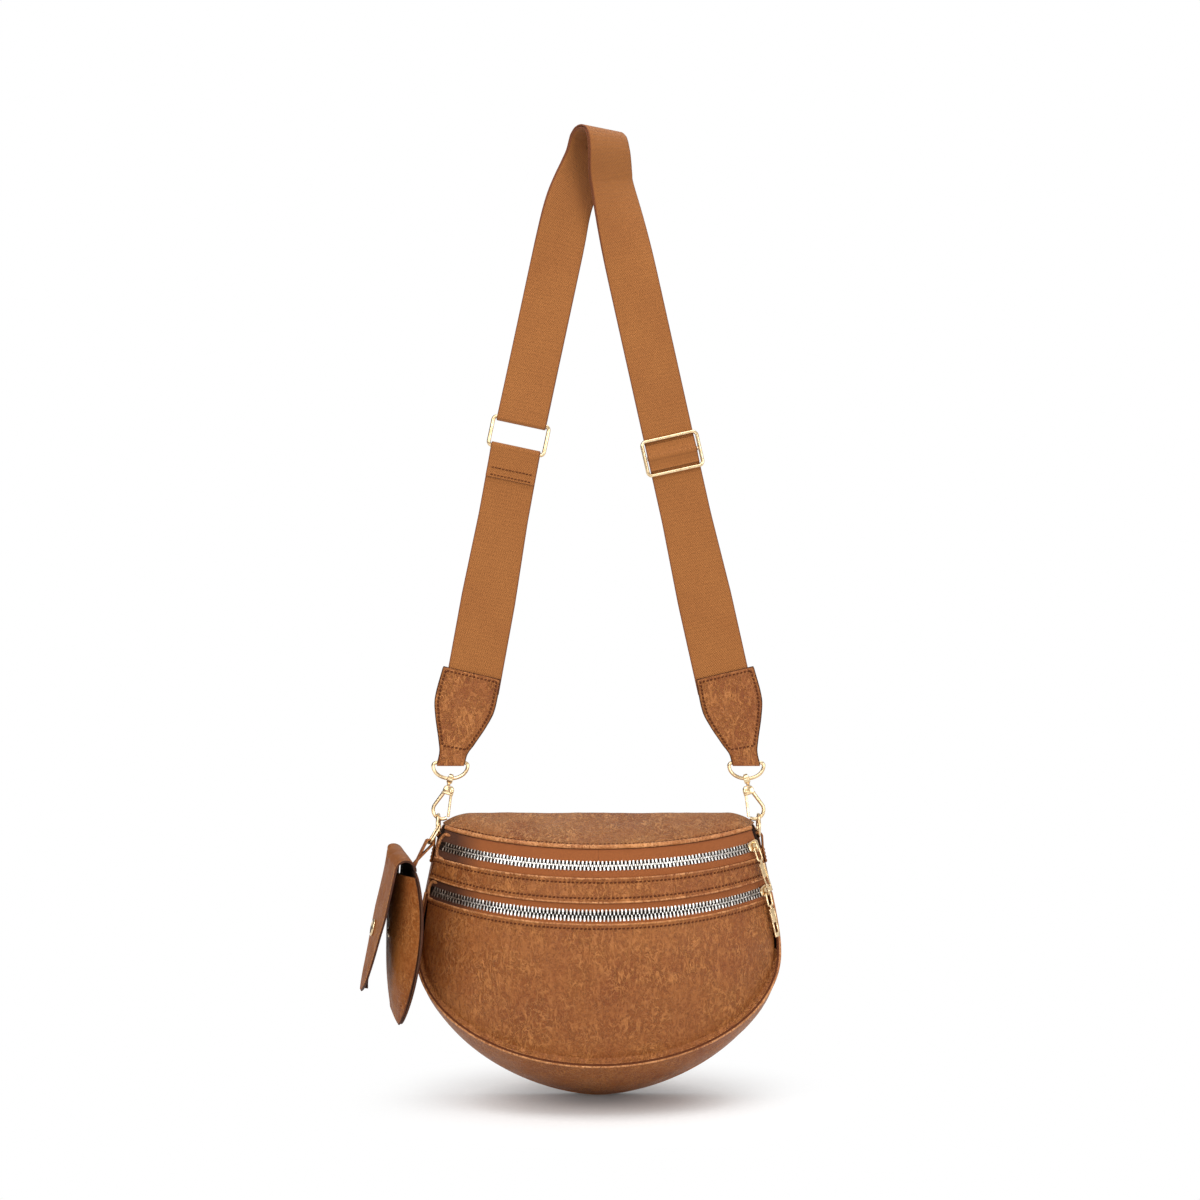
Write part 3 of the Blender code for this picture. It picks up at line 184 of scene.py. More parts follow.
def leather(name, light, dark, depth=0.00028, streak=(1.0, 1.0, 0.42), coat=0.03, crackle=1.0,
            shine=0.22):
    """Mottled pull-up leatherette: cloudy patches, pale crackle that is partly rubbed and partly painted
    highlight, and fine pebbling with painted highlights on its tops and painted shade in its hollows.
    """
    material, tree, shader = blank(name)
    plain = plain_coords(tree)
    patches = ramp(tree, cloud(tree, plain, PATCH_SCALE, 3.5, 0.6, 0.4), 0.34, 0.68)
    upright = ridges(tree, scaled_coords(tree, streak), CRACKLE_SCALE, 0.068, 0.7)
    crossing = ridges(tree, scaled_coords(tree, (1.0, 1.0, 0.7), 0.6), CROSSING_SCALE, 0.058, 1.0)
    worn = ramp(tree, cloud(tree, plain, WEAR_SCALE, 3, 0.6), 0.40, 0.62, 0.35, 1.0)
    lines = times(tree, maths(tree, "MAXIMUM", upright, crossing), worn)
    pebbles = cloud(tree, plain, PEBBLE_SCALE, 4, 0.7, 0.6)
    # Pale tint: a painted highlight on the pebbles' tops; on the crackle lines it is partly real rubbed
    # crackle and partly painted highlight
    pale = tuple(part * gain for part, gain in zip(light, RUB_AND_HIGHLIGHT_GAINS)) + (1,)
    # Painted shade: a darker tint laid in the pebbles' hollows
    deep = tuple(part * PAINTED_SHADE_SHARE for part in dark[:3]) + (1,)
    base = layered(tree, dark, [(patches, light), (ramp(tree, pebbles, 0.50, 0.37, 0, 0.50 * crackle), deep),
                                (ramp(tree, pebbles, 0.54, 0.66, 0, 0.22 * crackle), pale),
                                (times(tree, lines, 0.75 * crackle), pale)])
    rough = ramp(tree, cloud(tree, plain, SHEEN_SCALE, 3), 0.3, 0.7, 0.40, 0.56)
    feed(tree, shader, [("Base Color", base), ("Roughness", rough), ("Specular IOR Level", shine),
                        ("Coat Weight", coat), ("Coat Roughness", 0.35)])
    bump(tree, shader, plus(tree, times(tree, pebbles, 0.8), lines), depth * 3, 0.8)
    return material


def woven(name, light, dark, edge, pitch, across_pitch, width, depth, fuzz):
    """Woven cloth laid out by its UV map in metres: ribs across, yarns along, darker selvedges."""
    material, tree, shader = blank(name)
    cloth, axes = plain_coords(tree, "UV"), split_coords(tree, "UV")
    along, across = (times(tree, axes[axis], math.tau / step)
                     for axis, step in (("X", pitch), ("Y", across_pitch)))
    rib, yarn, twill = (maths(tree, "SINE", turn)
                        for turn in (along, across, plus(tree, times(tree, along, 0.5), across)))
    lay = ramp(tree, plus(tree, times(tree, rib, yarn), times(tree, twill, 0.6)), -1.5, 1.5)
    fleck = cloud(tree, cloth, FLECK_SCALE, 3, 0.7)
    bright = tuple(min(part * FLECK_GAIN, 1) for part in light[:3]) + (1,)
    off_middle = maths(tree, "ABSOLUTE", maths(tree, "SUBTRACT", axes["Y"], width / 2))
    base = layered(tree, dark, [
        (ramp(tree, lay, 0.1, 0.9), light), (ramp(tree, fleck, 0.60, 0.76, 0, 0.38), bright),
        (ramp(tree, cloud(tree, cloth, DRIFT_SCALE, 3), 0.35, 0.7, 0, 0.30), dark),
        (ramp(tree, off_middle, width / 2 - SELVEDGE_START, width / 2 - SELVEDGE_END, 0, 0.8), edge)])
    feed(tree, shader, [("Base Color", base), ("Roughness", 0.82), ("Specular IOR Level", 0.2),
                        ("Sheen Weight", fuzz), ("Sheen Roughness", 0.5)])
    bump(tree, shader, plus(tree, lay, times(tree, fleck, 0.5)), depth, 0.9)
    return material


def painted_shade_left(material, colour):
    """The zips' left ends lie deep in the leather; the shade there is painted into the tape's colour."""
    tree = material.node_tree
    shader = tree.nodes["Principled BSDF"]
    source = shader.inputs["Base Color"].links[0].from_socket
    left = ramp(tree, split_coords(tree)["X"], -0.084, -0.104, 0, 0.92)
    feed(tree, shader, [("Base Color", blend_colours(tree, left, source, colour))])


def metal(name, colour, shade, roughness, scratches=0.6, ends=None):
    """Plated metal with faint tarnish and fine scratches; if asked, painted shade darkens it at the zips'
    ends, which lie deep in the leather.
    """
    material, tree, shader = blank(name)
    tarnish = cloud(tree, plain_coords(tree), TARNISH_SCALE, 4, 0.6)
    base = blend_colours(tree, ramp(tree, tarnish, 0.42, 0.74, 0, 0.75), colour, shade)
    if ends:
        # Painted shade over the teeth towards both ends of the zips
        place_x = split_coords(tree)["X"]
        side = maths(tree, "MAXIMUM", ramp(tree, place_x, -0.070, -0.100, 0, 0.90),
                     ramp(tree, place_x, 0.055, 0.112, 0, 0.70))
        base = blend_colours(tree, side, base, ends)
    fine = cloud(tree, scaled_coords(tree, (1, 1, 0.15)), SCRATCH_SCALE, 2, 0.6)
    rough = plus(tree, ramp(tree, tarnish, 0.3, 0.7, roughness * 0.8, roughness * 1.35),
                 ramp(tree, fine, 0.55, 0.8, 0, 0.1 * scratches))
    feed(tree, shader, [("Base Color", base), ("Roughness", rough), ("Metallic", 1.0)])
    bump(tree, shader, plus(tree, tarnish, times(tree, fine, 0.25)), 0.00012, 0.5)
    return material


def thread(name, light, dark):
    """Twisted sewing thread."""
    material, tree, shader = blank(name)
    twist = add_node(tree, "ShaderNodeTexWave", [("Vector", scaled_coords(tree, (1, 1, 1), 0.6)),
                                                 ("Scale", TWIST_SCALE), ("Distortion", 2.0)]).outputs["Fac"]
    feed(tree, shader, [("Base Color", blend_colours(tree, twist, dark, light)), ("Roughness", 0.6),
                        ("Specular IOR Level", DULL)])
    bump(tree, shader, twist, 0.0001)
    return material


def painted_edge(name, colour, worn):
    """Edge paint on cut leather: smooth, dark, and rubbed lighter in places."""
    material, tree, shader = blank(name)
    rub = cloud(tree, plain_coords(tree), RUB_SCALE, 4, 0.65)
    feed(tree, shader, [("Base Color", blend_colours(tree, ramp(tree, rub, 0.50, 0.78), colour, worn)),
                        ("Roughness", ramp(tree, rub, 0.3, 0.7, 0.40, 0.6)), ("Specular IOR Level", DULL)])
    bump(tree, shader, rub, 0.0003, 0.5)
    return material


TAN = (0.250, 0.080, 0.016, 1)
RUST = (0.195, 0.052, 0.010, 1)
LEATHER = leather("tan_leather", TAN, RUST)
# Paler, lighter copy of the tan leather for the top: painted sheen where the top faces up to the lights; its
# streaks run across the flat top
LIT_TOP_LEATHER = leather("lit_tan_top_leather", (0.285, 0.108, 0.028, 1), RUST, streak=(1.0, 0.42, 1.0))
POUCH_TAN = leather("pouch_leather", (0.255, 0.084, 0.018, 1), RUST, 0.0002, (1.0, 1.0, 0.6), 0.0, 0.7,
                    0.06)
# Lighter leather for rolled edges: partly wear of the folds, partly a painted highlight where they catch
# light
FOLD_WEAR_AND_HIGHLIGHT = leather("fold_wear_and_highlight_leather", (0.40, 0.155, 0.045, 1), (0.22, 0.062, 0.016, 1), 0.00016)
# Lighter copy of the leather for the piping cords: a painted highlight along their round tops
HIGHLIT_PIPING = leather("piping_leather", (0.44, 0.175, 0.052, 1), (0.26, 0.075, 0.020, 1), 0.00018)
EDGE_PAINT = painted_edge("edge_paint", (0.045, 0.014, 0.006, 1), (0.110, 0.032, 0.013, 1))
LINING = woven("lining_cloth", (0.100, 0.042, 0.022, 1), (0.060, 0.024, 0.012, 1),
               (0.02, 0.01, 0.006, 1), 0.0011, 0.0011, 9.0, 0.0002, 0.02)
WEBBING = woven("strap_webbing", (0.355, 0.140, 0.034, 1), (0.205, 0.062, 0.014, 1),
                (0.110, 0.024, 0.008, 1), 0.00150, 0.00135, 0.037, 0.00035, 0.10)
TAPE = woven("zip_tape", (0.300, 0.094, 0.024, 1), (0.200, 0.054, 0.013, 1),
             (0.15, 0.04, 0.012, 1), 0.0009, 0.0008, 9.0, 0.0002, 0.08)
# Near-black sheet under the teeth: painted shadow of the zip's gap
ZIP_SHADOW = woven("zip_painted_shadow", (0.020, 0.010, 0.007, 1), (0.008, 0.005, 0.004, 1),
             (0.008, 0.005, 0.004, 1), 0.0009, 0.0008, 9.0, 0.0002, 0.0)
# Painted shade on the tape at the zips' deep left ends
painted_shade_left(TAPE, (0.050, 0.016, 0.007, 1))
GOLD = metal("pale_gold", (0.80, 0.61, 0.37, 1), (0.50, 0.32, 0.15, 1), 0.20)
# The last colour is painted shade at the zips' recessed ends
TEETH = metal("zip_teeth", (0.97, 0.95, 0.92, 1), (0.70, 0.64, 0.56, 1), 0.30, 0.4,
              (0.10, 0.060, 0.034, 1))
THREAD = thread("sewing_thread", (0.135, 0.036, 0.010, 1), (0.060, 0.015, 0.005, 1))
PALE_THREAD = thread("pale_thread", (0.50, 0.25, 0.10, 1), (0.25, 0.085, 0.03, 1))

# Sizes, the same as the frame's

# Overall
STRAP_DROP = 0.715
HOOK_DEPTH = 0.014
GAP = 0.0003

# Bag outline
BASE_HALF_WIDTH = 0.135
TOP_HEIGHT = 0.208
WAIST_SHARE = 7 / 13
WAIST_HEIGHT = TOP_HEIGHT * WAIST_SHARE
SIDE_TAPER_SHARE = 0.22
TAPER_START = 0.015
OUTLINE_POWER_SHARE = 1.15
FRONT_INSET = 0.002
FRONT_DROP = 0.037
BOTTOM_DEPTH = 0.062
SIDE_DEPTH = 0.019
GUSSET_DROP = 0.022
GUSSET_TOP = TOP_HEIGHT - GUSSET_DROP
GUSSET_BULGE = 0.004
SKIN = 0.0016
CORNER_DROP = 0.007

# Front profile
PROFILE_RADIUS = 0.240
PROFILE_RISE = 0.003
PROFILE_HEIGHT = WAIST_HEIGHT + PROFILE_RISE
PROFILE_DEPTH = 0.077
FRONT_BULGE = 0.006

# Zips
ZIP_RADIUS = 0.165
ZIP_TILT = math.radians(10)
UPPER_DROP = 0.028
ZIP_SPACING = 0.034
UPPER_HEIGHT = TOP_HEIGHT - UPPER_DROP
LOWER_HEIGHT = UPPER_HEIGHT - ZIP_SPACING
UPPER_HALF_SPAN = 0.1165
LOWER_HALF_SPAN = 0.1245
STRAIGHT_HALF_SPAN = 0.096
LID_HALF_SPAN = 0.085
TOOTH_REACH = 0.0032
TOOTH_THICKNESS = 0.0022
TAPE_THICKNESS = 0.0009
TAPE_TOP_REACH = 0.0118
BAND_REACH = 0.0088
POCKET_REACH = 0.0064
PIPING_RADIUS = 0.0016
PIPING_CLEAR = PIPING_RADIUS + GAP
PIPING_DROP = -TAPE_TOP_REACH - PIPING_CLEAR
DIVIDER_SET_BACK = 0.010
DIVIDER_RISE = 0.004
LINING_HEM_SHARE = 0.93

# Zip sliders and pullers
SLIDER_LENGTH = 0.0105
SLIDER_WIDTH = 0.0090
SLIDER_PLATE = 0.0012
PLATE_LIFT = TOOTH_THICKNESS / 2 + GAP + SLIDER_PLATE / 2
SLIDER_BLADE = 0.0005
SLIDER_INNER_WIDTH = 0.0062
BRIDGE_HEIGHT = 0.0042
BRIDGE_SPAN = 0.0068
BRIDGE_BAR = 0.0011
PULL_WIRE = 0.0008
LINK_LENGTH = 0.0095
LINK_WIDTH = 0.0048
BAR_LENGTH = 0.0210
BAR_WIDTH = 0.0052
BAR_THICKNESS = 0.0016
BAR_SLOT_LENGTH = 0.0070
BAR_SLOT_WIDTH = 0.0026
BAR_BEAD = 0.0009
BAR_BEAD_RISE = 0.0006

# Side rings and snap hooks
RING_HALF_SPAN = 0.1184
RING_RADIUS = 0.0080
RING_WIRE = 0.0010
GRIP_DROP = 0.0005
GRIP_HEIGHT = TOP_HEIGHT - GRIP_DROP
HOOK_SLACK = 0.0006
SIDE_TAB_WIDTH = 0.006
SIDE_TAB_LENGTH = 0.018
SIDE_TAB_THICKNESS = 0.0014
SIDE_TAB_EYE = 0.0020
SIDE_TAB_TURN = math.radians(130)
HOOK_WIRE = 0.0011
HOOK_SHIFT = 0.0012
HOOK_BODY_WIDTH = 0.0082
HOOK_BODY_HEIGHT = 0.0068
HOOK_BODY_THICKNESS = 0.0038
HOOK_REACH = 0.0058
HOOK_GATE_REACH = 0.0066
GATE_THICKNESS = 0.0016
GATE_WIDTH = 0.0019
GATE_OUT = -HOOK_SHIFT - HOOK_BODY_WIDTH / 2 + GATE_WIDTH
GATE_SEAT_SHARE = 0.72
RIVET_RADIUS = 0.0017
RIVET_PROUD = 0.0007
EYE_RADIUS = 0.0027
EYE_STEM = 0.0022
HOOK_HANG = 0.0293
TAB_RING_FOOT = GRIP_HEIGHT + HOOK_HANG
TAB_RING_DROP = 0.0117
TAB_RING_HALF_WIDTH = 0.0128
TAB_RING_WIRE = 0.0011

# Strap
WEB_WIDTH = 0.037
WEB_THICKNESS = 0.0013
WEB_LAYER_GAP = 0.0005
HALF_LAYERS = (WEB_THICKNESS + WEB_LAYER_GAP) / 2
CROWN_RADIUS = 0.010
CROWN_YAW = math.radians(38)
TWIST_LENGTH = 0.110
RIGHT_KNEE_X = 0.0105
LEFT_KNEE_X = -0.0240
RIGHT_KNEE_DROP = 0.040
LEFT_KNEE_DROP = 0.061
TAB_TOP_X = 0.0935
TAB_LENGTH = 0.0782
TAB_TOP_HEIGHT = TAB_RING_FOOT + TAB_LENGTH
TAB_BOTTOM_X = 0.1095
TAB_WIDTH = 0.0430
TAB_SHAPE_SHARES = ((0, 1), (0.34, 1.03), (0.52, 0.88), (0.74, 0.605), (0.86, 0.465), (1, 0.465))
TAB_TURN_SHARE = 0.74
TAB_THICKNESS = 0.0046
BUCKLE_X = -0.0590
BUCKLE_SHARE = 0.43875
BUCKLE_HEIGHT = TAB_TOP_HEIGHT + (STRAP_DROP - TAB_TOP_HEIGHT) * BUCKLE_SHARE
TAB_OVERLAP = 0.012
CROWN_SWEEP = math.radians(75)
RING_OPENING_LENGTH = 0.035
BUCKLE_INNER_WIDTH = 0.0390
BUCKLE_INNER_HEIGHT = 0.0190
BUCKLE_WIRE = 0.0014
RING_BAR_REACH = BUCKLE_INNER_HEIGHT / 2 + BUCKLE_WIRE
ADJUSTER_SHARE = 0.468
ADJUSTER_INNER_WIDTH = 0.0388
ADJUSTER_INNER_HEIGHT = 0.0230
ADJUSTER_WIRE = 0.0013
ADJUSTER_BAR_RADIUS = 0.0012
BAR_LOOP_LENGTH = 0.0190
FOLD_LENGTH = 0.0230

# Pouch
POUCH_HEIGHT = 0.111
POUCH_WIDTH = 0.092
POUCH_DEPTH = 0.009
POUCH_LEATHER = 0.0014
POUCH_FOOT_WIDTH = 0.052
POUCH_CORNER_HEIGHT = 0.034
POUCH_YAW = math.radians(12)
POUCH_LEAN = math.radians(4.5)
POUCH_TOP_DROP = 0.031
POUCH_TOP_HEIGHT = TOP_HEIGHT - POUCH_TOP_DROP
POUCH_TOP_X = -0.1390
POUCH_TOP_DEPTH = 0.034
POUCH_MOUTH_DROP = 0.004
FLAP_LENGTH = 0.095
FLAP_ANGLE = math.radians(8.5)
FLAP_FOLD = 0.0075
FLAP_TIP_WIDTH = 0.036
FLAP_TAPER_SHARE = 0.4
FLAP_ROUND_SHARE = 0.86
FLAP_END_SHARE = 0.09
SNAP_RADIUS = 0.0062
SNAP_STUD_RADIUS = 0.0040
SNAP_DROP = 0.050
POUCH_LOOP_WIDTH = 0.0060
POUCH_LOOP_LENGTH = 0.012
LOOP_REACH = 0.005
LINK_WIRE = 0.0008
LINK_HOLD_ANGLE = math.radians(14)
LINK_SEAT_SHARE = 1.4
CHAIN_LINK_LENGTH = 0.0150
CHAIN_LINK_WIDTH = 0.0095

# Places and frames

UP = Vector((0, 0, 1))
RIGHT = Vector((1, 0, 0))
BACK = Vector((0, 1, 0))


def place(x, depth, height):
    """World point from a side offset, a depth in front of the back panel and a height above the base."""
    return Vector((x, HOOK_DEPTH - depth, height - STRAP_DROP))


def aim(turn, first, second):
    """Direction turned by an angle from the first towards the second."""
    return math.cos(turn) * first + math.sin(turn) * second


def tangents(points, closed=False):
    """Directions along a line at each of its points."""
    found = []
    count = len(points)
    for index in range(count):
        if closed:
            before, after = points[index - 1], points[(index + 1) % count]
        else:
            before, after = points[max(index - 1, 0)], points[min(index + 1, count - 1)]
        found.append((after - before).normalized())
    return found


def spread(low, high, count):
    """Even values from low to high, both included."""
    return [low + (high - low) * step / count for step in range(count + 1)]


def spread_points(start, end, count):
    return [start.lerp(end, share) for share in spread(0, 1, count)]


def square_to(points, sides):
    """Directions square to a line and to its sides."""
    return [side.cross(tangent).normalized() for side, tangent in zip(sides, tangents(points))]


def front_depth(height):
    """Depth of the front at the middle of the bag, a round profile."""
    rise = height - PROFILE_HEIGHT
    return PROFILE_DEPTH - PROFILE_RADIUS + math.sqrt(PROFILE_RADIUS ** 2 - rise ** 2)


def side_half_width(height):
    rise = height - WAIST_HEIGHT
    return BASE_HALF_WIDTH - SIDE_TAPER_SHARE * (math.hypot(rise, TAPER_START) - TAPER_START)


def outline_steps(lower_steps, upper_steps, top):
    """Stations round the half moon, as an angle below the waist or a height above it."""
    below = [("turn", angle) for angle in spread(-math.pi / 2, math.pi / 2, lower_steps)]
    above = [("rise", height) for height in spread(WAIST_HEIGHT, top, upper_steps)[1:]]
    left = [(kind, value, -1) for kind, value in reversed(above)]
    right = [(kind, value, 1) for kind, value in above]
    return left + [(kind, value, 1) for kind, value in below] + right


def back_rail(station, depth=0):
    """Point on the back panel's outline, moved forward by a depth."""
    kind, value, side = station
    if kind == "rise":
        return place(side * side_half_width(value), depth, value)
    swing = abs(math.sin(value)) ** OUTLINE_POWER_SHARE
    x = math.copysign(BASE_HALF_WIDTH * swing, value)
    return place(x, depth, WAIST_HEIGHT * (1 - math.cos(value)))


def front_rail(station):
    """Point on the line where the piping runs under the front."""
    kind, value, side = station
    if kind == "rise":
        return place(side * (side_half_width(value) - FRONT_INSET), SIDE_DEPTH, value)
    x = (BASE_HALF_WIDTH - FRONT_INSET) * math.sin(value)
    height = WAIST_HEIGHT - (WAIST_HEIGHT - FRONT_DROP) * math.cos(value)
    depth = SIDE_DEPTH + (BOTTOM_DEPTH - SIDE_DEPTH) * math.cos(value)
    return place(x, depth, height)


class ZipTrack:
    """A zip that runs on an arc of one circle, so that its slider turns about the circle's axis."""

    def __init__(self, height, half_span):
        self.start = place(0, front_depth(height), height)
        self.inward = aim(ZIP_TILT, BACK, UP)
        self.axis = aim(ZIP_TILT, UP, -BACK)
        self.centre = self.start + ZIP_RADIUS * self.inward
        slope = math.asin((height - PROFILE_HEIGHT) / PROFILE_RADIUS)
        self.lean = slope + ZIP_TILT
        self.half_angle = self.angle_at(half_span)

    def angle_at(self, x):
        """Angle along the track that lies at a side offset."""
        return math.asin(x / ZIP_RADIUS)

    def radial(self, angle):
        return aim(angle, -self.inward, RIGHT)

    def outward(self, angle):
        return aim(self.lean, self.radial(angle), self.axis)

    def down(self, angle):
        return aim(self.lean, -self.axis, self.radial(angle))

    def along(self, angle):
        return aim(angle, RIGHT, self.inward)

    def axes(self, angle):
        return self.down(angle), self.along(angle), self.outward(angle)

    def point(self, angle, drop=0, lift=0):
        middle = self.centre + ZIP_RADIUS * self.radial(angle)
        return middle + drop * self.down(angle) + lift * self.outward(angle)


UPPER = ZipTrack(UPPER_HEIGHT, UPPER_HALF_SPAN)
LOWER = ZipTrack(LOWER_HEIGHT, LOWER_HALF_SPAN)


def away_from_middle(point):
    return point - place(0, SIDE_DEPTH, WAIST_HEIGHT)


def corner_share(x):
    """How far a place along the top is into the rounded corner, from 0 to 1."""
    return max(abs(x) - STRAIGHT_HALF_SPAN, 0) / (UPPER_HALF_SPAN - STRAIGHT_HALF_SPAN)


def top_edge(x):
    return TOP_HEIGHT - CORNER_DROP * corner_share(x) ** 2


def front_grid(set_back, top_drop, columns, levels):
    """Domed grid from under the lower zip down to the front piping."""
    inset = set_back + PIPING_RADIUS + SKIN
    rows = []
    for level in spread(0, 1, levels):
        row = []
        for share in spread(-1, 1, columns):
            turn = share * math.pi / 2
            upper_point = LOWER.point(share * LOWER.half_angle, top_drop, -set_back)
            lower_point = front_rail(("turn", turn, 1)) + set_back * BACK
            lower_point += inset * aim(turn, UP, -RIGHT)
            bulge = FRONT_BULGE * 4 * level * (1 - level)
            forward = bulge * (1 + 2 * math.cos(turn)) / 3
            middle = upper_point.lerp(lower_point, level)
            row.append(middle - forward * BACK + bulge * math.sin(2 * turn) / 2 * RIGHT)
        rows.append(row)
    return rows


def loop_points(centre, across, along, half_width, half_length, corner, steps):
    """Rounded rectangle in the plane of two directions."""
    points = []
    for quarter, (sign_x, sign_y) in enumerate(((1, 1), (-1, 1), (-1, -1), (1, -1))):
        middle = (centre + sign_x * (half_width - corner) * across
                  + sign_y * (half_length - corner) * along)
        for step in range(steps + 1):
            turn = math.pi / 2 * (quarter + step / steps)
            points.append(middle + corner * aim(turn, across, along))
    return points


class HookFrame:
    """Where one snap hook hangs: its load line runs from the tab ring's foot to the side ring's top."""

    def __init__(self, side):
        self.side = side
        self.grip = place(side * RING_HALF_SPAN, HOOK_DEPTH, GRIP_HEIGHT)
        self.tab_ring = place(side * TAB_BOTTOM_X, HOOK_DEPTH, TAB_RING_FOOT)
        self.up = (self.tab_ring - self.grip).normalized()
        self.out = side * RIGHT - self.up * self.up.dot(side * RIGHT)
        self.out.normalize()
        self.length = (self.tab_ring - self.grip).length

    def point(self, out, up):
        return self.grip + out * self.out + up * self.up


def circle(centre, first, second, radius, steps):
    return [centre + radius * aim(math.tau * step / steps, first, second) for step in range(steps)]


def strap_point(x, height, offset=0):
    return Vector((x, offset, height - STRAP_DROP))


LEFT_KNEE = Vector((LEFT_KNEE_X, 0, -LEFT_KNEE_DROP))
BUCKLE_MIDDLE = strap_point(BUCKLE_X, BUCKLE_HEIGHT)
BUCKLE_UP = (LEFT_KNEE - BUCKLE_MIDDLE).normalized()
BUCKLE_SIDE = BACK.cross(BUCKLE_UP).normalized()
RING_BAR = BUCKLE_MIDDLE + RING_BAR_REACH * BUCKLE_UP


def crown_arc():
    """Turn of the strap over its crown, in the upright plane square to the crown's ridge."""
    fall = aim(CROWN_YAW, -BACK, RIGHT)
    radius = CROWN_RADIUS + HALF_LAYERS + WEB_THICKNESS / 2
    centre = -CROWN_RADIUS * UP
    points, headings = [], []
    for turn in spread(CROWN_SWEEP, -CROWN_SWEEP, 6):
        points.append(centre + radius * aim(turn, UP, fall))
        headings.append(aim(turn, fall, -UP))
    return points, headings


def bend_between(start, start_heading, end, end_heading, steps):
    reach = (end - start).length / 3
    curve = geometry.interpolate_bezier(start, start + reach * start_heading,
                                        end - reach * end_heading, end, steps + 1)
    return [Vector(point) for point in curve]


def strap_base():
    """Middle line between the strap's two layers, from the right tab over the crown to the ring."""
    foot = strap_point(TAB_TOP_X, TAB_TOP_HEIGHT - TAB_OVERLAP, HALF_LAYERS)
    right_knee = Vector((RIGHT_KNEE_X, HALF_LAYERS, -RIGHT_KNEE_DROP))
    arc, headings = crown_arc()
    rising = (right_knee - foot).normalized()
    falling = (RING_BAR - LEFT_KNEE).normalized()
    points = spread_points(foot, right_knee, 12)
    points += bend_between(right_knee, rising, arc[0], -headings[0], 5)[1:]
    points += arc[1:]
    points += bend_between(arc[-1], -headings[-1], LEFT_KNEE, falling, 5)[1:]
    points += spread_points(LEFT_KNEE, RING_BAR, 10)[1:]
    return points


def strap_frames(points):
    """Width direction and outward normal at each point; the strap twists towards its crown."""
    sides, normals = [], []
    for point, tangent in zip(points, tangents(points)):
        share = min(max((-point.z - CROWN_RADIUS) / TWIST_LENGTH, 0), 1)
        yaw = CROWN_YAW * (1 - share * share * (3 - 2 * share))
        flat = aim(yaw, RIGHT, BACK)
        side = (flat - tangent * flat.dot(tangent)).normalized()
        sides.append(side)
        normals.append(side.cross(tangent).normalized())
    return sides, normals


def spread_at_ring(point):
    """Offset of a layer from the middle line, which opens round the ring's bar on the left."""
    share = max(1 - (point - RING_BAR).length / RING_OPENING_LENGTH, 0)
    return HALF_LAYERS + (wrap_radius(BUCKLE_WIRE) - HALF_LAYERS) * share


def wrap_radius(wire_radius):
    return wire_radius + GAP + WEB_THICKNESS / 2


def adjuster_place():
    """Middle of the adjuster on the right branch, with the strap's directions there."""
    points = strap_base()[:2]
    sides, normals = strap_frames(points)
    foot = strap_point(TAB_TOP_X, TAB_TOP_HEIGHT - TAB_OVERLAP)
    knee = Vector((RIGHT_KNEE_X, 0, -RIGHT_KNEE_DROP))
    up = (knee - foot).normalized()
    return foot.lerp(knee, ADJUSTER_SHARE), sides[0], up, normals[0]


class PouchFrame:
    """Directions of the hanging pouch: across its width, down its back and out of its front."""

    def __init__(self):
        lean = aim(POUCH_LEAN, -UP, -RIGHT)
        self.across = aim(POUCH_YAW, -BACK, RIGHT)
        self.down = (lean - self.across * lean.dot(self.across)).normalized()
        self.out = self.down.cross(self.across).normalized()
        self.top = place(POUCH_TOP_X, POUCH_TOP_DEPTH, POUCH_TOP_HEIGHT)
        self.flap_down = aim(FLAP_ANGLE, self.down, self.out)
        self.flap_out = aim(FLAP_ANGLE, self.out, -self.down)

    def point(self, across, down, out):
        return self.top + across * self.across + down * self.down + out * self.out

    def fold_point(self, turn):
        """Point on the outer face of the flap's fold, from the back's top edge over to the flap."""
        middle = self.point(0, -2 * GAP, FLAP_FOLD - POUCH_LEATHER)
        return middle - FLAP_FOLD * aim(turn, self.out, self.down)

    def flap_point(self, run):
        return self.fold_point(math.pi - FLAP_ANGLE) + run * self.flap_down


def pouch_half_width(drop):
    share = max((drop - POUCH_HEIGHT + POUCH_CORNER_HEIGHT) / POUCH_CORNER_HEIGHT, 0)
    rounding = math.sqrt(max(1 - share * share, 0))
    return (POUCH_FOOT_WIDTH + (POUCH_WIDTH - POUCH_FOOT_WIDTH) * rounding) / 2


def pouch_front_point(frame, across_share, drop):
    full = 1 - (drop / POUCH_HEIGHT) ** 3
    dome = POUCH_DEPTH * full * (1 - across_share ** 4)
    return frame.point(across_share * pouch_half_width(drop), drop, GAP + POUCH_LEATHER + dome)


def flap_half_width(share):
    straight = max((share - FLAP_TAPER_SHARE) / (1 - FLAP_TAPER_SHARE), 0)
    half = (POUCH_WIDTH + (FLAP_TIP_WIDTH - POUCH_WIDTH) * straight) / 2
    tip = max((share - FLAP_ROUND_SHARE) / (1 - FLAP_ROUND_SHARE), 0)
    return half * math.sqrt(max(1 - tip * tip, FLAP_END_SHARE))


# Mesh tools

STITCH_PITCH = 0.0030
STITCH_LENGTH = 0.0021
STITCH_RADIUS = 0.00066
STITCH_SINK = 0.0001
STITCH_TILT = 0.16
STITCH_SHAPE = ((-0.5, 0.35, 0.55), (-0.34, 0.95, 0.1), (0, 1, 0), (0.34, 0.95, 0.1), (0.5, 0.35, 0.55))


def new_object(name, data):
    made = bpy.data.objects.new(name, data)
    bpy.context.scene.collection.objects.link(made)
    return made


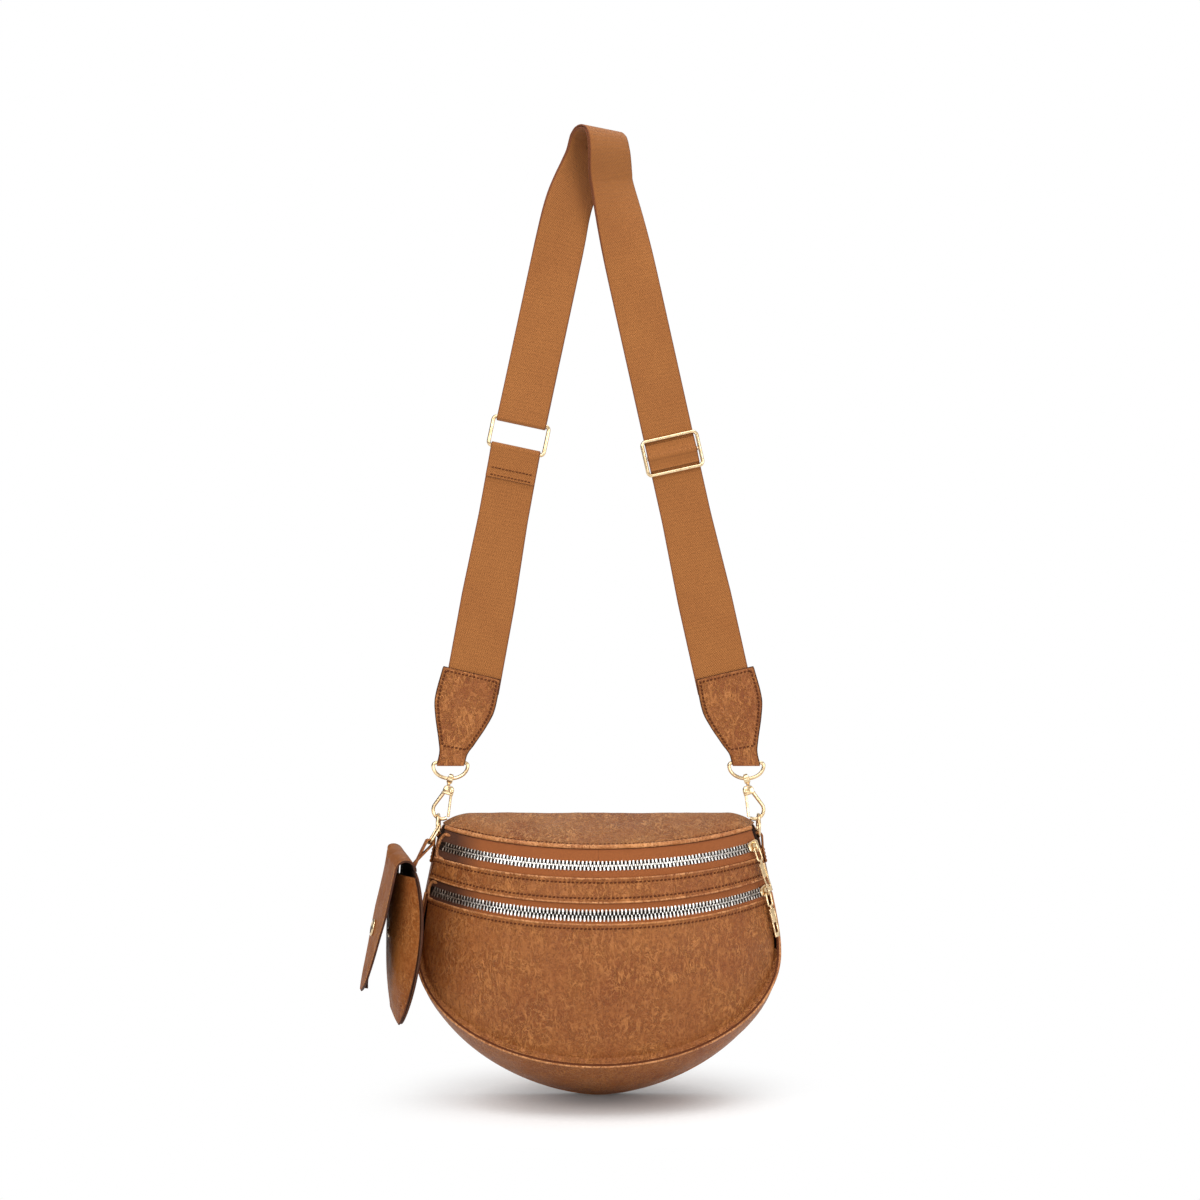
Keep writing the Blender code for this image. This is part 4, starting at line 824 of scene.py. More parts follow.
def own_piece(name, work, materials, body, nodes=(), sharp=38):
    """Makes an object from a bmesh, lets it ride on a body and stand for its nodes."""
    mesh = bpy.data.meshes.new(name)
    work.to_mesh(mesh)
    work.free()
    made = new_object(name, mesh)
    for material in materials:
        mesh.materials.append(material)
    mesh.shade_smooth()
    mesh.set_sharp_from_angle(angle=math.radians(sharp))
    if body:
        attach(made, body)
    if nodes:
        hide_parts(*nodes)
    return made


def closed_piece(name, work, material, body, nodes=(), sharp=38):
    """The same for closed shells, whose faces are turned outward first."""
    bmesh.ops.recalc_face_normals(work, faces=work.faces)
    return own_piece(name, work, [material], body, nodes, sharp)


def metal_piece(name, work, body, nodes=(), material=GOLD):
    return closed_piece(name, work, material, body, nodes, 45)


def running_lengths(points):
    total, found = 0, [0]
    for first, second in zip(points, points[1:]):
        total += (second - first).length
        found.append(total)
    return found


def grid_normals(rows):
    """Normals of a grid of points, by differences between its neighbours."""
    found = []
    last_row, last_column = len(rows) - 1, len(rows[0]) - 1
    for i, row in enumerate(rows):
        line = []
        for j in range(len(row)):
            along = rows[i][min(j + 1, last_column)] - rows[i][max(j - 1, 0)]
            down = rows[min(i + 1, last_row)][j] - rows[max(i - 1, 0)][j]
            line.append(along.cross(down).normalized())
        found.append(line)
    return found


def relieved(rows, outward, relief):
    """Rows lifted along their outward normals by their distances from the first and last row."""
    normals = grid_normals(rows)
    middle = (len(rows) // 2, len(rows[0]) // 2)
    centre = rows[middle[0]][middle[1]]
    sign = 1 if normals[middle[0]][middle[1]].dot(outward(centre)) > 0 else -1
    falls = [running_lengths([row[j] for row in rows]) for j in range(len(rows[0]))]
    return [[point + sign * normals[i][j] * relief(falls[j][i], falls[j][-1] - falls[j][i],
                                                   j / (len(row) - 1), point)
             for j, point in enumerate(row)] for i, row in enumerate(rows)]


def panel(name, rows, thickness, outward, material, body, nodes=(), rim=None, inside=None,
          edge_round=0.45):
    """Sewn panel over a grid: its thickness goes inward and its edges are rounded."""
    work = bmesh.new()
    uv = work.loops.layers.uv.new("cloth")
    along = running_lengths(rows[len(rows) // 2])
    down = running_lengths([row[len(row) // 2] for row in rows])
    grid = [[work.verts.new(point) for point in row] for row in rows]
    for i in range(len(rows) - 1):
        for j in range(len(rows[0]) - 1):
            corners = ((i, j), (i, j + 1), (i + 1, j + 1), (i + 1, j))
            face = work.faces.new([grid[a][b] for a, b in corners])
            for loop, (a, b) in zip(face.loops, corners):
                loop[uv].uv = (along[b], down[a])
    work.normal_update()
    if sum(outward(face.calc_center_median()).dot(face.normal) for face in work.faces) < 0:
        bmesh.ops.reverse_faces(work, faces=work.faces)
    made = own_piece(name, work, [material, inside or material, rim or material], body, nodes)
    thicken = made.modifiers.new("thickness", "SOLIDIFY")
    thicken.thickness = thickness
    thicken.offset = -1
    thicken.use_even_offset = False
    thicken.material_offset = 1
    thicken.material_offset_rim = 2
    soften = made.modifiers.new("soft_edges", "BEVEL")
    soften.width = thickness * edge_round
    soften.segments = 3
    soften.limit_method = "ANGLE"
    soften.angle_limit = math.radians(50)
    return made


def settled(made):
    """Applies a piece's modifiers, so that its mesh is final."""
    depsgraph = bpy.context.evaluated_depsgraph_get()
    final = bpy.data.meshes.new_from_object(made.evaluated_get(depsgraph))
    made.modifiers.clear()
    made.data = final
    return made


def skin_rings(work, rings, closed=False, uv=None, lengths=None, rounds=None):
    """Skin over rings of points; the cloth's UV runs by its lengths and round its section."""
    rows = [[work.verts.new(point) for point in ring] for ring in rings]
    pairs = [(i, i + 1) for i in range(len(rows) - 1)]
    if closed:
        pairs.append((len(rows) - 1, 0))
    for low, high in pairs:
        count = len(rows[low])
        for index in range(count):
            following = (index + 1) % count
            face = work.faces.new((rows[low][index], rows[low][following],
                                   rows[high][following], rows[high][index]))
            face.smooth = True
            if uv:
                corners = ((low, index), (low, index + 1), (high, index + 1), (high, index))
                for loop, (along, across) in zip(face.loops, corners):
                    loop[uv].uv = (lengths[along], rounds[across])
    if not closed:
        work.faces.new(rows[0][::-1])
        work.faces.new(rows[-1])


def skinned(rings, closed=False):
    work = bmesh.new()
    skin_rings(work, rings, closed)
    return work


def add_tube(work, points, radius, flat_normal, closed=False, sides=12, radii=None):
    rings = []
    for index, (point, tangent) in enumerate(zip(points, tangents(points, closed))):
        across = tangent.cross(flat_normal).normalized()
        out = across.cross(tangent).normalized()
        rings.append(circle(point, across, out, radii[index] if radii else radius, sides))
    skin_rings(work, rings, closed)


def tube(name, points, radius, flat_normal, material, body, nodes=(), closed=False, sides=12,
         radii=None):
    work = bmesh.new()
    add_tube(work, points, radius, flat_normal, closed, sides, radii)
    return closed_piece(name, work, material, body, nodes)


def gold_wire(name, points, radius, flat_normal, body, node, sides=16, closed=True, radii=None):
    tube(name, points, radius, flat_normal, GOLD, body, [node], closed, sides, radii)


def chamfered(wide, high, wide_flat, high_flat):
    """Oblong section with cut corners."""
    return [(wide, high_flat), (wide_flat, high), (-wide_flat, high), (-wide, high_flat),
            (-wide, -high_flat), (-wide_flat, -high), (wide_flat, -high), (wide, -high_flat)]


def add_block(work, centre, axes, sizes, corner=0.2):
    """Block with chamfered edges, as cast and stamped fittings have."""
    across, along, out = axes
    half_a, half_l, half_o = (size / 2 for size in sizes)
    cut = min(half_a, half_o, half_l) * corner * 2
    rings = []
    for level, shrink in ((-half_l, cut), (-half_l + cut, 0), (half_l - cut, 0), (half_l, cut)):
        scale_a, scale_o = (half_a - shrink) / half_a, (half_o - shrink) / half_o
        rings.append([centre + a * scale_a * across + o * scale_o * out + level * along
                      for a, o in chamfered(half_a, half_o, half_a - cut, half_o - cut)])
    skin_rings(work, rings)


def dome(work, centre, first, second, out, radius, profile, sides):
    """Round fitting from (share of its radius, lift) pairs."""
    rings = [circle(centre + lift * out, first, second, radius * share, sides) for share, lift in profile]
    skin_rings(work, rings)


def even_points(points, pitch):
    """Points and tangents at even steps along a line."""
    lengths = running_lengths(points)
    count = max(int(lengths[-1] / pitch), 1)
    found, index = [], 0
    for step in range(count):
        want = lengths[-1] * (step + 0.5) / count
        while lengths[index + 1] < want:
            index += 1
        share = (want - lengths[index]) / (lengths[index + 1] - lengths[index])
        place_now = points[index].lerp(points[index + 1], share)
        found.append((place_now, (points[index + 1] - points[index]).normalized(), index, share))
    return found


def stitches(name, lines, body, material=THREAD, pitch=STITCH_PITCH, length=STITCH_LENGTH,
             radius=STITCH_RADIUS):
    """Rows of stitches; each line is a list of points and a list of outward normals."""
    work = bmesh.new()
    for points, normals in lines:
        for point, tangent, index, share in even_points(points, pitch):
            normal = normals[index].lerp(normals[index + 1], share).normalized()
            across = normal.cross(tangent).normalized()
            tilt = (tangent + across * STITCH_TILT).normalized()
            base = point - normal * STITCH_SINK
            skin_rings(work, [circle(base + tilt * length * along - normal * radius * drop, across, normal,
                                     radius * size, 6) for along, size, drop in STITCH_SHAPE])
    return closed_piece(name, work, material, body, (), 80)


def band_piece(name, points, sides, normals, width, thickness, material, body, nodes):
    """Flat strap with rounded selvedges, woven along its UV map."""
    half, rim = width / 2, thickness / 2
    section = []
    for sign in (1, -1):
        section += [(sign * across, sign * rim) for across in spread(rim - half, half - rim, 8)]
        section += [(sign * (half - rim * 0.3), sign * rim * 0.7), (sign * half, 0),
                    (sign * (half - rim * 0.3), -sign * rim * 0.7)]
    rounds = [across + half for across, lift in section]
    rings = [[point + across * side + lift * normal for across, lift in section]
             for point, side, normal in zip(points, sides, normals)]
    work = bmesh.new()
    uv = work.loops.layers.uv.new("cloth")
    skin_rings(work, rings, False, uv, running_lengths(points), rounds + rounds[:1])
    return closed_piece(name, work, material, body, nodes, 60)


def smooth_path(points, steps):
    """Catmull-Rom curve through the points."""
    found = []
    for index in range(len(points) - 1):
        before = points[max(index - 1, 0)]
        first, second = points[index], points[index + 1]
        after = points[min(index + 2, len(points) - 1)]
        for step in range(steps):
            t = step / steps
            found.append(0.5 * ((2 * first) + (second - before) * t
                                + (2 * before - 5 * first + 4 * second - after) * t * t
                                + (3 * first - before - 3 * second + after) * t * t * t))
    found.append(points[-1].copy())
    return found


def swell(point, scale, seed=0.0):
    return noise.noise(Vector((point.x * scale + seed, point.y * scale, point.z * scale)))


def dip(share, at, width):
    """Groove that stitches pull into leather, 1 at its middle."""
    return math.exp(-((share - at) / width) ** 2)


# Bag panels

FOLD_WIDTH = 0.0042
FOLD_SOFTNESS = 0.0004
FOLD_ROUND = 0.00075
SEAM_INSET = 0.0030
SEAM_DEPTH = 0.00070
SEAM_WIDTH = 0.0009
SEAM_LIFT = 0.0002
FOLD_RISE = 0.00070
SLACK = 0.0011
WRINKLE = 0.00035
TAPE_FINE = 0.0006
TOOTH_FINE = 0.0036
TOOTH_PITCH = 0.0028
TOOTH_LENGTH = 0.00145
TOOTH_HEAD = 0.0011
LOWER_GAPE = 0.0008
ROW_END = 0.004
ROW_PART_ANGLE = 0.0003
BACK_EDGE = ((0.0, 0.0006), (0.0004, 0), (0.0018, 0), (0.0024, 0.0004), (0.0026, 0.0014),
             (0.0026, 0.0040), (0.00245, 0.0050), (0.0026, 0.0062))
BACK_SEAM_INSET = 0.0050
BACK_SEAM_DEPTH = 0.0025
BACK_SLACK = 0.0006
BACK_SEAM_ROUND = 0.0013
TOP_SEAM_INSET = 0.0022
LID_STRETCH = 0.010
BINDING_ROUND = 0.0012
BINDING_ARM = 0.004
BINDING_LIFT = 0.0006
BINDING_SET_BACK = 0.0035
BINDING_BULGE = 0.55
SLACK_SCALE = 22
WRINKLE_SCALES = (130, 30, 24)
GUSSET_FLAT_SHARE = 0.15
GUSSET_PUCKER = 0.0006
GUSSET_PUCKER_WIDTH = 0.014
POCKET_PUCKER = 0.0008
POCKET_PUCKER_WIDTH = 0.018
BAND_CROWN = 0.0006
WALL_SWELL = 0.0006
TAPE_GRAIN = 0.00008
# Where the painted shadow strip under the teeth starts, and how far it sinks
SHADOW_STRIP_START = 0.0002
SHADOW_STRIP_SINK = 0.0004
TOOTH_ROOT = 0.0008
TOOTH_OVERLAP = 0.0010
HEAD_THICKNESS_SHARE = 0.66
PIPING_SEAM_SHARE = 1.05
PIPING_SEAM_SINK = 0.0009


def fold_relief(distance):
    """Height of a turned-under edge with the groove that its stitches pull in."""
    edge = FOLD_RISE * (1 - 1 / (1 + math.exp(-(distance - FOLD_WIDTH) / FOLD_SOFTNESS)))
    return edge - SEAM_DEPTH * dip(distance, SEAM_INSET, SEAM_WIDTH)


def soft_relief(point, seed, size=1.0):
    """Slack of soft leather: broad swells and finer upright wrinkles."""
    across, deep, high = WRINKLE_SCALES
    upright = noise.noise(Vector((point.x * across + seed, point.y * deep, point.z * high)))
    return size * (swell(point, SLACK_SCALE, seed) * SLACK + upright * WRINKLE)


def sunk(points, depth):
    """Points moved towards the middle of the bag."""
    return [point - depth * away_from_middle(point).normalized() for point in points]


def sewn_line(rows, inset, from_last=False):
    """Line on a grid at a distance from its first or last row, with the grid's normals."""
    normals = grid_normals(rows)
    points, found = [], []
    for j in range(len(rows[0])):
        column = [row[j] for row in rows]
        ups = [line[j] for line in normals]
        if from_last:
            column, ups = column[::-1], ups[::-1]
        lengths = running_lengths(column)
        index = 0
        while index < len(lengths) - 2 and lengths[index + 1] < inset:
            index += 1
        share = (inset - lengths[index]) / max(lengths[index + 1] - lengths[index], 1e-9)
        points.append(column[index].lerp(column[index + 1], share))
        found.append(ups[index])
    return points, found


def seam_line(rows, inset, outward, from_last=False):
    """Line for stitches, a little above a panel's outer face."""
    points, normals = sewn_line(rows, inset, from_last)
    normals = [normal if normal.dot(outward(point)) > 0 else -normal
               for point, normal in zip(points, normals)]
    return [point + SEAM_LIFT * normal for point, normal in zip(points, normals)], normals


def leather_panel(name, rows, body, nodes, relief, outward=away_from_middle, material=LEATHER):
    """Lined leather panel with relief; gives its rows back for seams."""
    rows = relieved(rows, outward, relief)
    return rows, panel(name, rows, SKIN, outward, material, body, nodes, inside=LINING)


def back_side():
    """Back panel: a moulded edge, then rings that close on a slack middle; its inner face is lining."""
    rim = [back_rail(station) for station in outline_steps(72, 18, TOP_HEIGHT - 2 * CORNER_DROP)]
    rim += [place(x, 0, top_edge(x) - GAP) for x in reversed(spread(-UPPER_HALF_SPAN, UPPER_HALF_SPAN, 48))]
    middle = place(0, 0, WAIST_HEIGHT)
    inward = [(middle - point).normalized() for point in rim]
    rings = [[point + (GAP + back) * BACK + way * inset for point, way in zip(rim, inward)]
             for back, inset in BACK_EDGE]
    edge = rings[-1]
    for share in spread(0.15, 0.9, 5):
        ring = [point.lerp(middle + (point.y - middle.y) * BACK, share) for point in edge]
        rings.append([point + BACK_SLACK * (swell(point, 20, 3) + share) * BACK for point in ring])
    work = skinned(rings)
    bmesh.ops.recalc_face_normals(work, faces=work.faces)
    uv = work.loops.layers.uv.new("cloth")
    inner = min((face for face in work.faces if len(face.verts) > 4),
                key=lambda face: face.calc_center_median().y)
    inner.material_index = 1
    for loop in inner.loops:
        loop[uv].uv = (loop.vert.co.x, loop.vert.co.z)
    own_piece("back_side", work, [LEATHER, LINING], "bag", ["back_panel"])
    line = [point + way * BACK_SEAM_INSET + (GAP + BACK_SEAM_DEPTH) * BACK for point, way in zip(rim, inward)]
    return line, [BACK] * len(line)


def side_point(station, share):
    """The gusset swells under the bag and lies flatter up its sides."""
    middle = front_rail(station).lerp(back_rail(station, SKIN / 2 + GAP), share)
    low = math.cos(station[1]) if station[0] == "turn" else 0
    fullness = GUSSET_FLAT_SHARE + (1 - GUSSET_FLAT_SHARE) * low
    bulge = GUSSET_BULGE * fullness * 4 * share * (1 - share)
    return middle + bulge * away_from_middle(middle).normalized()


def side_band():
    stations = outline_steps(110, 26, GUSSET_TOP)
    rows = [[side_point(station, share) for station in stations] for share in spread(0, 1, 14)]

    def relief(down, rest, share, point):
        pucker = noise.noise(Vector((share * 95, down * 40, 4))) * GUSSET_PUCKER
        return pucker * dip(down, 0, GUSSET_PUCKER_WIDTH) + soft_relief(point, 9, 0.7)

    leather_panel("side_band", rows, "bag", ["gusset"], relief)
    seam = [side_point(station, 1) for station in stations]
    tube("back_seam", sunk(seam, 0.0008), BACK_SEAM_ROUND, BACK, LEATHER, "bag", sides=10)


def bottom_piping():
    """Cord under the front's edge, in leather lightened by a painted highlight, with a dark seam on each side
    of it.
    """
    top = LOWER.point(LOWER.half_angle, POCKET_REACH).z + STRAP_DROP
    points = []
    for index, station in enumerate(outline_steps(150, 14, top + 0.004)):
        waver = noise.noise(Vector((index * 0.23, 0, 2))) * 0.00025
        points.append(front_rail(station) + (waver - PIPING_CLEAR) * BACK)
    tube("bottom_piping", points, PIPING_RADIUS * 1.02, BACK, HIGHLIT_PIPING, "bag",
         ["front_piping"], sides=14)
    beside = PIPING_RADIUS * PIPING_SEAM_SHARE
    for name, back in (("piping_seam", beside), ("piping_groove", -beside)):
        seam = [point + back * BACK for point in sunk(points, PIPING_SEAM_SINK)]
        tube(name, seam, PIPING_RADIUS * 0.5, BACK, THREAD, "bag", sides=10)


def folded_edge(name, row):
    """Round of leather where a panel's edge is turned under, in a lighter leather that is partly wear of the
    fold and partly painted highlight.
    """
    tube(name, sunk(row, 0.0002), FOLD_ROUND, BACK, FOLD_WEAR_AND_HIGHLIGHT, "bag", sides=10)


def pocket_front():
    """Domed front of the pocket; its last row lies against the piping."""
    rows = front_grid(0, POCKET_REACH, 130, 54)
    for j, share in enumerate(spread(-1, 1, 130)):
        turn = share * math.pi / 2
        rail = front_rail(("turn", turn, 1)) - 2 * PIPING_RADIUS * BACK
        rows[-1][j] = rail + PIPING_RADIUS * 0.7 * aim(turn, UP, -RIGHT)

    def relief(down, rest, share, point):
        waver = noise.noise(Vector((share * 85, rest * 45, 11)))
        pucker = waver * POCKET_PUCKER * dip(rest, 0, POCKET_PUCKER_WIDTH)
        return fold_relief(down) + soft_relief(point, 0) + pucker - 0.0007 * dip(rest, 0, 0.006)

    rows = leather_panel("pocket_front", rows, "bag", ["front_panel"], relief)[0]
    folded_edge("pocket_fold", rows[0])
    return seam_line(rows, SEAM_INSET, away_from_middle)


def pocket_wall():
    rows = front_grid(DIVIDER_SET_BACK, -DIVIDER_RISE, 40, 10)
    hem = [LOWER.point(share * LOWER.half_angle * LINING_HEM_SHARE, -TOOTH_REACH - DIVIDER_RISE,
                       -TAPE_THICKNESS - GAP) for share in spread(-1, 1, 40)]
    rows = relieved([hem] + rows, away_from_middle,
                    lambda down, rest, share, point: swell(point, 40, 1) * WALL_SWELL)
    panel("pocket_wall", rows, SKIN, away_from_middle, LINING, "bag", ["pocket_divider"])


def track_rows(track, near, far, drops, lift, columns):
    return [[track.point(angle, drop, lift) for angle in spread(near, far, columns)] for drop in drops]


def tape(name, track, near, far, drops, body, nodes):
    rows = track_rows(track, near, far, spread(drops[0], drops[1], 6), TAPE_THICKNESS / 2, 90)
    rows = relieved(rows, away_from_middle,
                    lambda down, rest, share, point: TAPE_GRAIN * noise.noise(point * 300))
    return panel(name, rows, TAPE_THICKNESS, away_from_middle, TAPE, body, nodes,
                 edge_round=0.3)


def lid_blend(piece, side):
    """Settles a piece at the lid's ends and bakes its place into its mesh; where it would stretch between the
    bag and the lid is worked out but not used.
    """
    start = UPPER.point(side * UPPER.angle_at(LID_HALF_SPAN + LID_STRETCH))
    end = UPPER.point(side * UPPER.angle_at(LID_HALF_SPAN - LID_STRETCH))
    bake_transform(settled(piece))


def shadow_strip(name, track, side, near, far, body):
    """Painted shadow: a near-black strip just under the teeth, which shows between them as the dark gap of
    the zip.
    """
    drops = [side * drop for drop in spread(SHADOW_STRIP_START, TOOTH_FINE, 3)]
    rows = track_rows(track, near, far, drops, -SHADOW_STRIP_SINK, 90)
    panel(name, rows, TAPE_THICKNESS / 2, away_from_middle, ZIP_SHADOW, body)


def tapes():
    for name, track, low in (("upper", UPPER, BAND_REACH), ("lower", LOWER, POCKET_REACH)):
        half = track.half_angle
        tape(name + "_tape_low", track, -half, half, (TOOTH_FINE - TAPE_FINE, low - GAP), "bag",
             [name + "_tape_bottom"])
    tape("lower_tape_high", LOWER, -LOWER.half_angle, LOWER.half_angle,
         (GAP - BAND_REACH, TAPE_FINE - TOOTH_FINE), "bag", ["lower_tape_top"])
    for side, word in ((-1, "left"), (1, "right")):
        half = tape("upper_tape_" + word, UPPER, 0, side * UPPER.half_angle,
                    (-TAPE_TOP_REACH, TAPE_FINE - TOOTH_FINE), None, ["upper_tape_top"])
        lid_blend(half, side)
    for name, track, side in (("upper_shadow_strip_low", UPPER, 1), ("lower_shadow_strip_high", LOWER, -1),
                              ("lower_shadow_strip_low", LOWER, 1)):
        shadow_strip(name, track, side, -track.half_angle, track.half_angle, "bag")
    lid = UPPER.angle_at(LID_HALF_SPAN)
    shadow_strip("upper_shadow_strip_high", UPPER, -1, -lid, lid, "lid")


def tooth(work, track, angle, sign):
    """One zip element: a clamp round the tape's edge and a smaller head that meets the other row."""
    down, along, out = track.axes(angle)
    gape = LOWER_GAPE * math.cos(min(abs(angle / track.half_angle) * 1.3, 1) * math.pi / 2)
    if track is UPPER:
        gape = 0
    for near, far, length, height, corner in (
            (TOOTH_ROOT, TOOTH_FINE, TOOTH_LENGTH, TOOTH_THICKNESS, 0.22),
            (-TOOTH_ROOT, TOOTH_OVERLAP, TOOTH_HEAD, TOOTH_THICKNESS * HEAD_THICKNESS_SHARE, 0.3)):
        centre = track.point(angle, sign * ((near + far) / 2 + gape), 0)
        add_block(work, centre, (along, down, out), (length, far - near, height), corner)


def teeth(name, track, near, far, sign, shift, node, body="bag"):
    """Row of teeth between two angles; a shift of half a pitch makes the rows mesh."""
    work = bmesh.new()
    pitch = TOOTH_PITCH / ZIP_RADIUS
    first = math.ceil((near - shift * pitch) / pitch)
    angle = (first + shift) * pitch
    while angle <= far:
        tooth(work, track, angle, sign)
        angle += pitch
    metal_piece(name, work, body, [node], TEETH)


def zip_teeth():
    """Two rows to each zip; the top row of the upper zip is parted where the lid ends."""
    lid = UPPER.angle_at(LID_HALF_SPAN)
    part = lid + ROW_PART_ANGLE
    high, low = UPPER.half_angle, LOWER.half_angle
    high_end, low_end = high - ROW_END / ZIP_RADIUS, low - ROW_END / ZIP_RADIUS
    teeth("upper_row_high", UPPER, -lid, lid, -1, 0, "upper_teeth_top", "lid")
    teeth("upper_row_low", UPPER, -high_end, high, 1, 0.5, "upper_teeth_bottom")
    teeth("upper_row_left", UPPER, -high_end, -part, -1, 0, "upper_teeth_end_left")
    teeth("upper_row_right", UPPER, part, high, -1, 0, "upper_teeth_end_right")
    teeth("lower_row_high", LOWER, -low_end, low, -1, 0, "lower_teeth_top")
    teeth("lower_row_low", LOWER, -low_end, low, 1, 0.5, "lower_teeth_bottom")


def band_between():
    """Panel between the two zips, with both of its edges turned under."""
    ends = [[track.point(side * track.half_angle, drop, SKIN / 2) for side in spread(-1, 1, 120)]
            for track, drop in ((UPPER, BAND_REACH + GAP), (LOWER, -BAND_REACH - GAP))]
    rows = [[high.lerp(low, share) for high, low in zip(*ends)] for share in spread(0, 1, 26)]

    def relief(down, rest, share, point):
        crown = BAND_CROWN * math.sin(math.pi * min(max(down / max(down + rest, 1e-6), 0), 1))
        return fold_relief(down) + fold_relief(rest) + crown + soft_relief(point, 5, 0.45)

    rows = leather_panel("band_between", rows, "bag", ["middle_band"], relief)[0]
    folded_edge("band_fold_high", rows[0])
    folded_edge("band_fold_low", rows[-1])
    return [seam_line(rows, SEAM_INSET, away_from_middle, last) for last in (False, True)]


def upwards(point):
    return UP


def top_point(angle, level):
    """Point of the top, from its straight back edge to the piping at the upper zip."""
    front = UPPER.point(angle, PIPING_DROP, SKIN / 2) - (PIPING_CLEAR + SKIN / 2) * UPPER.radial(angle)
    x = ZIP_RADIUS * math.sin(angle)
    corner = corner_share(x)
    rear = place(x, SKIN * corner, top_edge(x) + SKIN + GAP)
    return rear.lerp(front, level) + FRONT_BULGE * level * (1 - level) * (1 - corner) * UP


def top_relief(down, rest, share, point):
    return soft_relief(point, 7, 0.6) - SEAM_DEPTH * dip(rest, TOP_SEAM_INSET, SEAM_WIDTH)


def top_cover():
    lines = []
    for side, word, nodes in ((-1, "left", ["top_panel", "top_corner_left"]),
                              (1, "right", ["top_corner_right"])):
        angles = spread(0, side * UPPER.half_angle, 76)
        rows = [[top_point(angle, level) for angle in angles] for level in spread(0, 1, 22)]
        rows, cover = leather_panel("top_cover_" + word, rows, None, nodes, top_relief, upwards, LIT_TOP_LEATHER)
        lid_blend(cover, side)
        points = [UPPER.point(angle, PIPING_DROP) for angle in angles]
        piping = tube("zip_piping_" + word, points, PIPING_RADIUS, UP, HIGHLIT_PIPING, None,
                      ["top_piping"] if side < 0 else (), sides=14)
        lid_blend(piping, side)
        lines.append((side, word, seam_line(rows, TOP_SEAM_INSET, upwards, True)))
    return lines


def end_binding(name, track, reach):
    """Fold of leather round a zip's left end, which closes the opening in a C; its lighter leather is partly
    wear and partly painted highlight.
    """
    angle = -track.half_angle + BINDING_SET_BACK / ZIP_RADIUS
    points = []
    for turn in spread(-math.pi / 2, math.pi / 2, 22):
        swing = angle - reach * BINDING_BULGE * math.cos(turn) / ZIP_RADIUS
        points.append(track.point(swing, reach * math.sin(turn), BINDING_LIFT))
    for step in spread(0, 1, 8)[1:]:
        swing = angle + BINDING_ARM * step / ZIP_RADIUS
        points.insert(0, track.point(swing, -reach, BINDING_LIFT * (1 - step)))
        points.append(track.point(swing, reach, BINDING_LIFT * (1 - step)))
    radii = [BINDING_ROUND * min(1, 0.45 + 6 * min(index, len(points) - 1 - index) / len(points))
             for index in range(len(points))]
    tube(name, points, BINDING_ROUND, BACK, FOLD_WEAR_AND_HIGHLIGHT, "bag", sides=12, radii=radii)


def sew_bag():
    back_line = back_side()
    side_band()
    bottom_piping()
    pocket_line = pocket_front()
    pocket_wall()
    tapes()
    zip_teeth()
    band_lines = band_between()
    top_lines = top_cover()
    end_binding("upper_end", UPPER, BAND_REACH)
    end_binding("lower_end", LOWER, POCKET_REACH)
    stitches("bag_stitches", [back_line, pocket_line] + band_lines, "bag")
    for side, word, line in top_lines:
        lid_blend(stitches("lid_stitches_" + word, [line], None), side)


# Zip hardware

PLATE_LAYERS = ((-0.5, 0.93), (-0.35, 1.0), (0.25, 1.0), (0.5, 0.88))


def slider_plan(share):
    """Half width of a slider's plate from its single end to its wide shoulders."""
    return SLIDER_WIDTH / 2 * (0.70 + 0.30 * math.sin(math.pi * min(share * 1.25, 1) * 0.5) ** 1.4)


def slider_plate(work, track, angle, lift, thickness, scale):
    """Plate on one face of the zip, with its edges rounded over."""
    down, along, out = track.axes(angle)
    centre = track.point(angle, 0, lift)
    outline = []
    for share in spread(0, 1, 12):
        end = math.sqrt(max(1 - (2 * abs(share - 0.5)) ** 8, 0))
        outline.append((slider_plan(share) * scale * max(end, 0.72), (share - 0.5) * SLIDER_LENGTH))
    path = [(half, run) for half, run in outline] + [(-half, run) for half, run in reversed(outline)]
    rings = []
    for level, shrink in PLATE_LAYERS:
        rings.append([centre + half * shrink * down + run * shrink * along + level * thickness * out
                      for half, run in path])
    skin_rings(work, rings)


